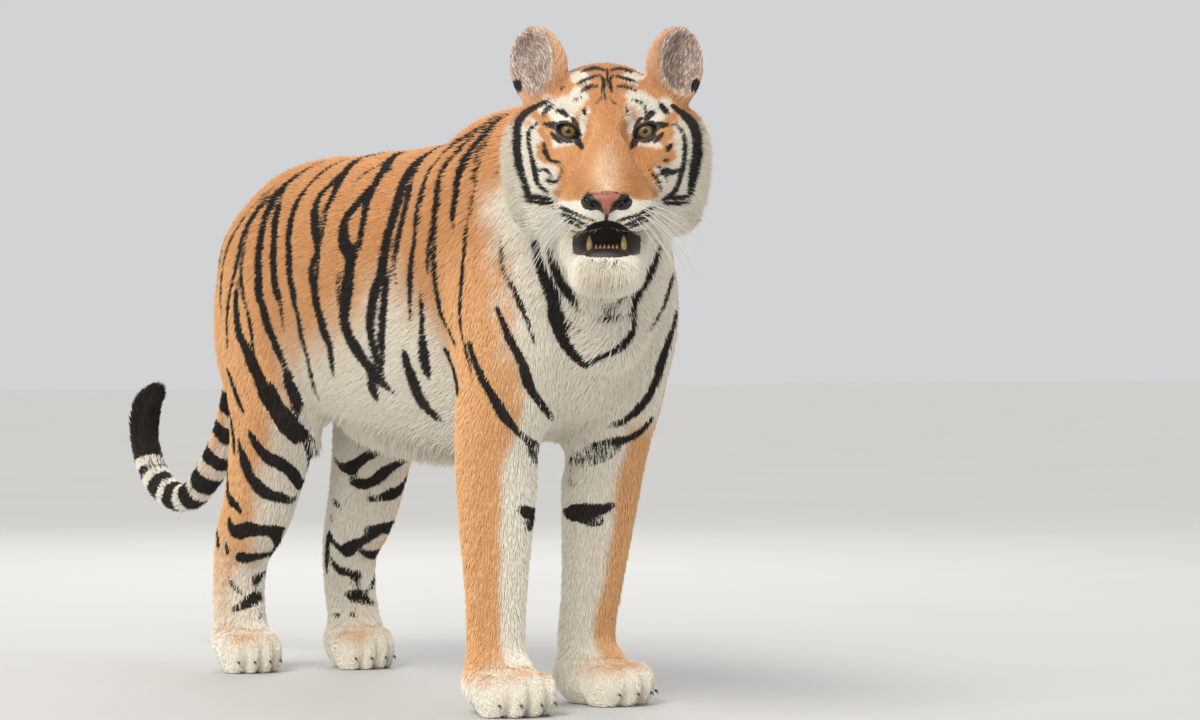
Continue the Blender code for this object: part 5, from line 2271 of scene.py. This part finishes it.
@dataclass
class Face:
    """Nose leather, teeth and whiskers."""

    anatomy: Anatomy
    whisker_rows: tuple = ((-0.108, 6), (-0.117, 7), (-0.126, 7), (-0.135, 6))  # heights and numbers
    whisker_radius: float = 0.00080
    nose_ahead: float = 0.0055  # how far the leather stands out of the muzzle
    nose_voxel: float = 0.0011
    nose_rounds: int = 8  # of drawing its mesh onto its form
    tooth_line: tuple[float, float] = (-0.087, -0.176)  # y and z of the lower gum
    canine_spread: float = 0.0255
    canine_height: float = 0.0175
    incisors: int = 6

    def nose_form(self) -> Placed:
        """The nose leather's form with its nostrils.

        Returns:
            The form where it stands.
        """
        ahead = self.nose_ahead
        pad = [
            (Blob((0, -0.1300 - ahead, -0.1055), (0.026, 0.0125, 0.0100)), 0.004),
            (Blob((0.021, -0.1265 - ahead, -0.109), (0.0145, 0.0125, 0.0115), (0, 0, 14), True), 0.006),
            (Blob((0, -0.1310 - ahead, -0.1165), (0.0105, 0.0105, 0.0125)), 0.006),
        ]
        return self.anatomy.in_head(Mass(pad, self.nostrils()))

    def nostrils(self) -> Steps:
        """The commas cut into the leather, and the groove under it.

        Returns:
            The hollows in the head's frame, with their blend widths.
        """
        ahead = self.nose_ahead
        return [
            (Blob((0.0175, -0.14 - ahead, -0.115), (0.0085, 0.01, 0.0048), (0, 0, -32), True), 0.0015),
            (Blob((0.0285, -0.1335 - ahead, -0.1085), (0.0065, 0.01, 0.003), (0, 0, -42), True), 0.0015),
            (Blob((0, -0.1450 - ahead, -0.1250), (0.0009, 0.0080, 0.0100)), 0.002),
        ]

    def nose(self) -> bpy.types.Object:
        """Builds the nose leather with its nostrils.

        Returns:
            The nose, one closed mesh.
        """
        form = self.nose_form()
        mesh = bmesh.new()
        form.add_to(mesh, Matrix())
        item = settled(mesh_object("nose_leather", mesh), "REMESH", mode="VOXEL", voxel_size=self.nose_voxel)
        for _ in range(self.nose_rounds):
            points, normals = read(item.data, "vertices"), read(item.data, "", normals=True)
            gap = np.clip(form.distance(points), -0.004, 0.004)
            write(item.data, points - 0.6 * gap[:, None] * normals)
        local = form.into(read(item.data, "vertices"))
        # painted shade: the nostrils' hollows are marked to be painted black; the black margins outside the
        # pink triangle are the leather's own colour
        nostril_shade_and_rim = np.min([blob.distance(local) for blob, _ in self.nostrils()[:2]], axis=0)
        half = np.interp(local[:, 2], (-0.122, -0.113, -0.099), (0.0045, 0.0120, 0.0215))
        keep_number(item.data, "nostril_shade_and_rim", np.minimum(nostril_shade_and_rim, half - np.abs(local[:, 0]) + 0.0030))
        item.data.shade_smooth()
        return item

    def nose_finish(self) -> bpy.types.Material:
        """Pink leather with a fine pebbled grain, black at its margins, and black in the nostrils as painted
        shade.

        Returns:
            The material.
        """
        nodes = Nodes("nose_leather")
        pink = nodes.mix(nodes.noise(90, 3), (0.42, 0.140, 0.092), (0.26, 0.080, 0.055))
        # black in the nostrils is painted shade; black at the margins is the leather's own colour
        colour = nodes.mix(nodes.between(nodes.number("nostril_shade_and_rim"), 0.0042, 0.0020), pink, (0.008, 0.006, 0.006))
        pebbles = nodes.add("TexVoronoi", {"Vector": nodes.add("TexCoord").outputs["Object"], "Scale": 900.0})
        bump = nodes.bump(pebbles.outputs["Distance"], 0.35, 0.0006)
        return nodes.finish(Base_Color=colour, Roughness=0.42, Normal=bump)

    def teeth(self) -> bpy.types.Object:
        """Builds the lower canines and incisors.

        Returns:
            The teeth, joined.
        """
        y, z = self.tooth_line
        mesh = bmesh.new()

        def tooth(x: float, radius: float, height: float) -> None:
            """Adds one blunt curved cone.

            Args:
                x: how far to the left it stands.
                radius: its radius at the gum.
                height: how far it stands out of the gum.
            """
            ball = bmesh.ops.create_uvsphere(mesh, u_segments=16, v_segments=12, radius=1)["verts"]
            for vertex in ball:
                up = (vertex.co.z + 1) / 2
                wide = radius * (1 - 0.62 * up * up)
                vertex.co.x, vertex.co.y = vertex.co.x * wide, vertex.co.y * wide + 0.003 * up * up
                vertex.co.z = up * (height + 0.007) - 0.007
            bmesh.ops.translate(mesh, vec=(x, y, z), verts=ball)

        for side in (1, -1):
            tooth(side * self.canine_spread, 0.0052, self.canine_height)
        for number in range(self.incisors):
            tooth((number - (self.incisors - 1) / 2) * 0.0062, 0.0028, 0.0042)
        bmesh.ops.transform(mesh, matrix=self.anatomy.head.frame, verts=mesh.verts)
        item = mesh_object("lower_teeth", mesh)
        item.data.shade_smooth()
        return item

    def whiskers(self) -> bpy.types.Object:
        """Builds the whiskers of both pads and a few over each eye.

        Returns:
            The whiskers, joined.
        """
        random = np.random.default_rng(SEED + 1)
        head, lines = self.anatomy.head, []
        for side in (1, -1):
            roots, ways, lengths = [], [], []
            for row, (height, count) in enumerate(self.whisker_rows):
                for number in range(count):
                    share = number / (count - 1)
                    up = height - 0.006 * share + random.normal(0, 0.001)
                    roots.append((side * (0.042 + 0.030 * share), -0.30, up))
                    back = random.uniform(0.75, 1.15) if side < 0 else random.uniform(0.30, 0.75)
                    ways.append((side * 0.8, back, random.uniform(-0.35, 0.15) - 0.22 * row))
                    lengths.append(random.uniform(0.07, 0.125) * (0.8 + 0.3 * share))
            for number in range(3):
                roots.append((side * (0.050 + 0.008 * number), -0.30, 0.030))
                ways.append((side * (0.4 + 0.2 * number), 0.15, 0.9))
                lengths.append(random.uniform(0.035, 0.05))
            forward = np.tile(head.axes[:, 1], (len(roots), 1))
            points, found = cast(self.anatomy.whole, 0.004, head.out(np.array(roots)), forward)
            for point, way, length, good in zip(points, ways, lengths, found):
                if not good:
                    continue
                share = np.linspace(0, 1, 9)[:, None]
                droop = np.array((0, 0.25, -0.55)) * length * share**2
                lines.append(point + (unit(np.array(way)) * length * share + droop * 0.5) @ head.axes.T)
        return hairs("whiskers", lines, self.whisker_radius)


@dataclass
class Claws:
    """The tips of the claws between the toes' hair."""

    anatomy: Anatomy
    radius: float = 0.0024
    length: float = 0.007

    def build(self) -> bpy.types.Object:
        """Builds four claw tips on each paw.

        Returns:
            The claws, joined.
        """
        lines, share = [], np.linspace(0, 1, 7)[:, None]
        forward, fall = np.array((0, -1, 0)), np.array((0, 0.2, -0.8))
        for name, paw in self.anatomy.paws.items():
            stance = self.anatomy.stances[name]
            for across, ahead in self.anatomy.toes:
                tip = np.array((across * stance.width * 1.08, (ahead - 0.232) * stance.length, 0.022))
                curve = forward * self.length * share + fall * self.length * share**2
                lines.append(paw.out(tip + curve))
        return hairs("claws", lines, self.radius, 0.12, 3)


# The studio


@dataclass
class Studio:
    """Floor, light, world and camera."""

    shift: np.ndarray
    camera_at: Triple = (-3.352, -6.153, 0.620)  # in the animal's frame
    camera_yaw: float = 31.0
    camera_pitch: float = 0.487  # below the horizon
    lens: float = 123.6
    sensor: float = 36.0

    def build(self) -> None:
        """Builds the whole studio."""
        self.floor()
        self.camera()
        world = bpy.data.worlds.new("studio")
        world.use_nodes = True
        world.node_tree.nodes["Background"].inputs["Color"].default_value = (0.97, 0.985, 1.0, 1)
        world.node_tree.nodes["Background"].inputs["Strength"].default_value = 0.66
        bpy.context.scene.world = world
        bpy.context.scene.view_settings.view_transform = "Standard"
        self.sun("key", (-0.62, -0.34, 0.78), 26, 1.55)
        self.light("fill", (-3.7, -3.9, 2.9), 2.2, 80)
        self.light("back", (1.6, 3.8, 3.2), 2.6, 60)

    def sun(self, name: str, toward: Triple, width: float, strength: float) -> None:
        """Adds a broad far light.

        Args:
            name: the light's name.
            toward: the direction that it shines from.
            width: its width in degrees.
            strength: watts per square metre.
        """
        data = bpy.data.lights.new(name, "SUN")
        data.energy, data.angle = strength, math.radians(width)
        data.color = (1.0, 0.965, 0.90)
        linked(name, data).rotation_euler = Vector(toward).to_track_quat("Z", "Y").to_euler()

    def floor(self) -> None:
        """Builds the plain pale floor."""
        mesh = bmesh.new()
        bmesh.ops.create_grid(mesh, x_segments=1, y_segments=1, size=30)
        item = mesh_object("floor", mesh)
        item.data.materials.append(PALE_FLOOR.material())

    def light(self, name: str, at: Triple, size: float, power: float) -> None:
        """Adds a soft lamp that looks at the middle of the animal.

        Args:
            name: the lamp's name.
            at: where it hangs.
            size: side of its square.
            power: watts.
        """
        data = bpy.data.lights.new(name, "AREA")
        data.size, data.energy = size, power
        item = linked(name, data)
        item.location = at
        item.rotation_euler = (Vector((0, 0, 0.5)) - Vector(at)).to_track_quat("-Z", "Y").to_euler()

    def camera(self) -> None:
        """Adds the camera."""
        data = bpy.data.cameras.new("camera")
        data.lens, data.sensor_width, data.clip_end = self.lens, self.sensor, 200
        item = linked("camera", data)
        item.location = Vector(self.camera_at) + Vector(self.shift)
        item.rotation_euler = (math.radians(90 - self.camera_pitch), 0, -math.radians(self.camera_yaw))
        bpy.context.scene.camera = item


def model_shift(anatomy: Anatomy) -> np.ndarray:
    """The move from the animal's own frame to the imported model's, from where the left eye is.

    Args:
        anatomy: the animal's forms.

    Returns:
        The move as x, y and z.
    """
    low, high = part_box("eye_left")
    own = anatomy.head.out(np.array((anatomy.eye_spread, anatomy.eye_depth, 0)))
    return (np.array(low) + np.array(high)) / 2 - own


def dress(
    item: bpy.types.Object, material: bpy.types.Material | None, slot: str, shift: np.ndarray, *nodes: str
) -> None:
    """Gives a finished piece its finish, its place and its link to the model.

    Args:
        item: the piece, still in the animal's own frame.
        material: its finish, or None to keep what it has.
        slot: not used.
        shift: the move to the model's frame.
        nodes: the solids that it stands for.
    """
    if material is not None:
        item.data.materials.clear()
        item.data.materials.append(material)
    item.data.transform(Matrix.Translation(Vector(shift)))
    item.data.update()
    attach(item, "root")
    if nodes:
        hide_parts(*nodes)
    LOG.info("%s: %d points", item.name, len(item.data.vertices))


def main() -> None:
    """Builds the tiger's looks piece by piece."""
    logging.basicConfig(level=logging.INFO, format="%(name)s %(relativeCreated)6.0f ms %(message)s")
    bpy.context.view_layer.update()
    anatomy = Anatomy()
    pelage = Pelage(anatomy)
    shift = model_shift(anatomy)
    sculptor = Skin(anatomy, pelage)
    skin = sculptor.build()
    sculptor.unwrap(skin)
    LOG.info("skin built: %d points", len(skin.data.vertices))
    markings = Markings(anatomy, pelage)
    LOG.info("markings laid: %d strokes", len(markings.lines))
    coat = Coat(anatomy, pelage, markings, sculptor, skin, CoatFinish())
    tufts = coat.build()
    LOG.info("coat grown: %d pieces", len(tufts))
    own = ("eye_left", "eye_right", "nose")
    dress(skin, None, "body_coat", shift, *[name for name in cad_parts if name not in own])
    for item, slot in tufts:
        dress(item, None, slot, shift)
    for side, name in ((1, "eye_left"), (-1, "eye_right")):
        eye = Eye(sculptor, side, name)
        dress(eye.ball(), eye.finish(), "eyes", shift, name)
        dress(eye.lids(), LID_LEATHER.material(), "face_coat", shift)
    face = Face(anatomy)
    dress(face.nose(), face.nose_finish(), "nose", shift, "nose")
    dress(face.teeth(), IVORY.material(), "chin_and_teeth", shift)
    dress(face.whiskers(), WHISKER_HAIR.material(), "face_coat", shift)
    dress(Claws(anatomy).build(), DARK_HORN.material(), "paw_coat", shift)
    Studio(shift).build()


if __name__ == "__main__":
    main()
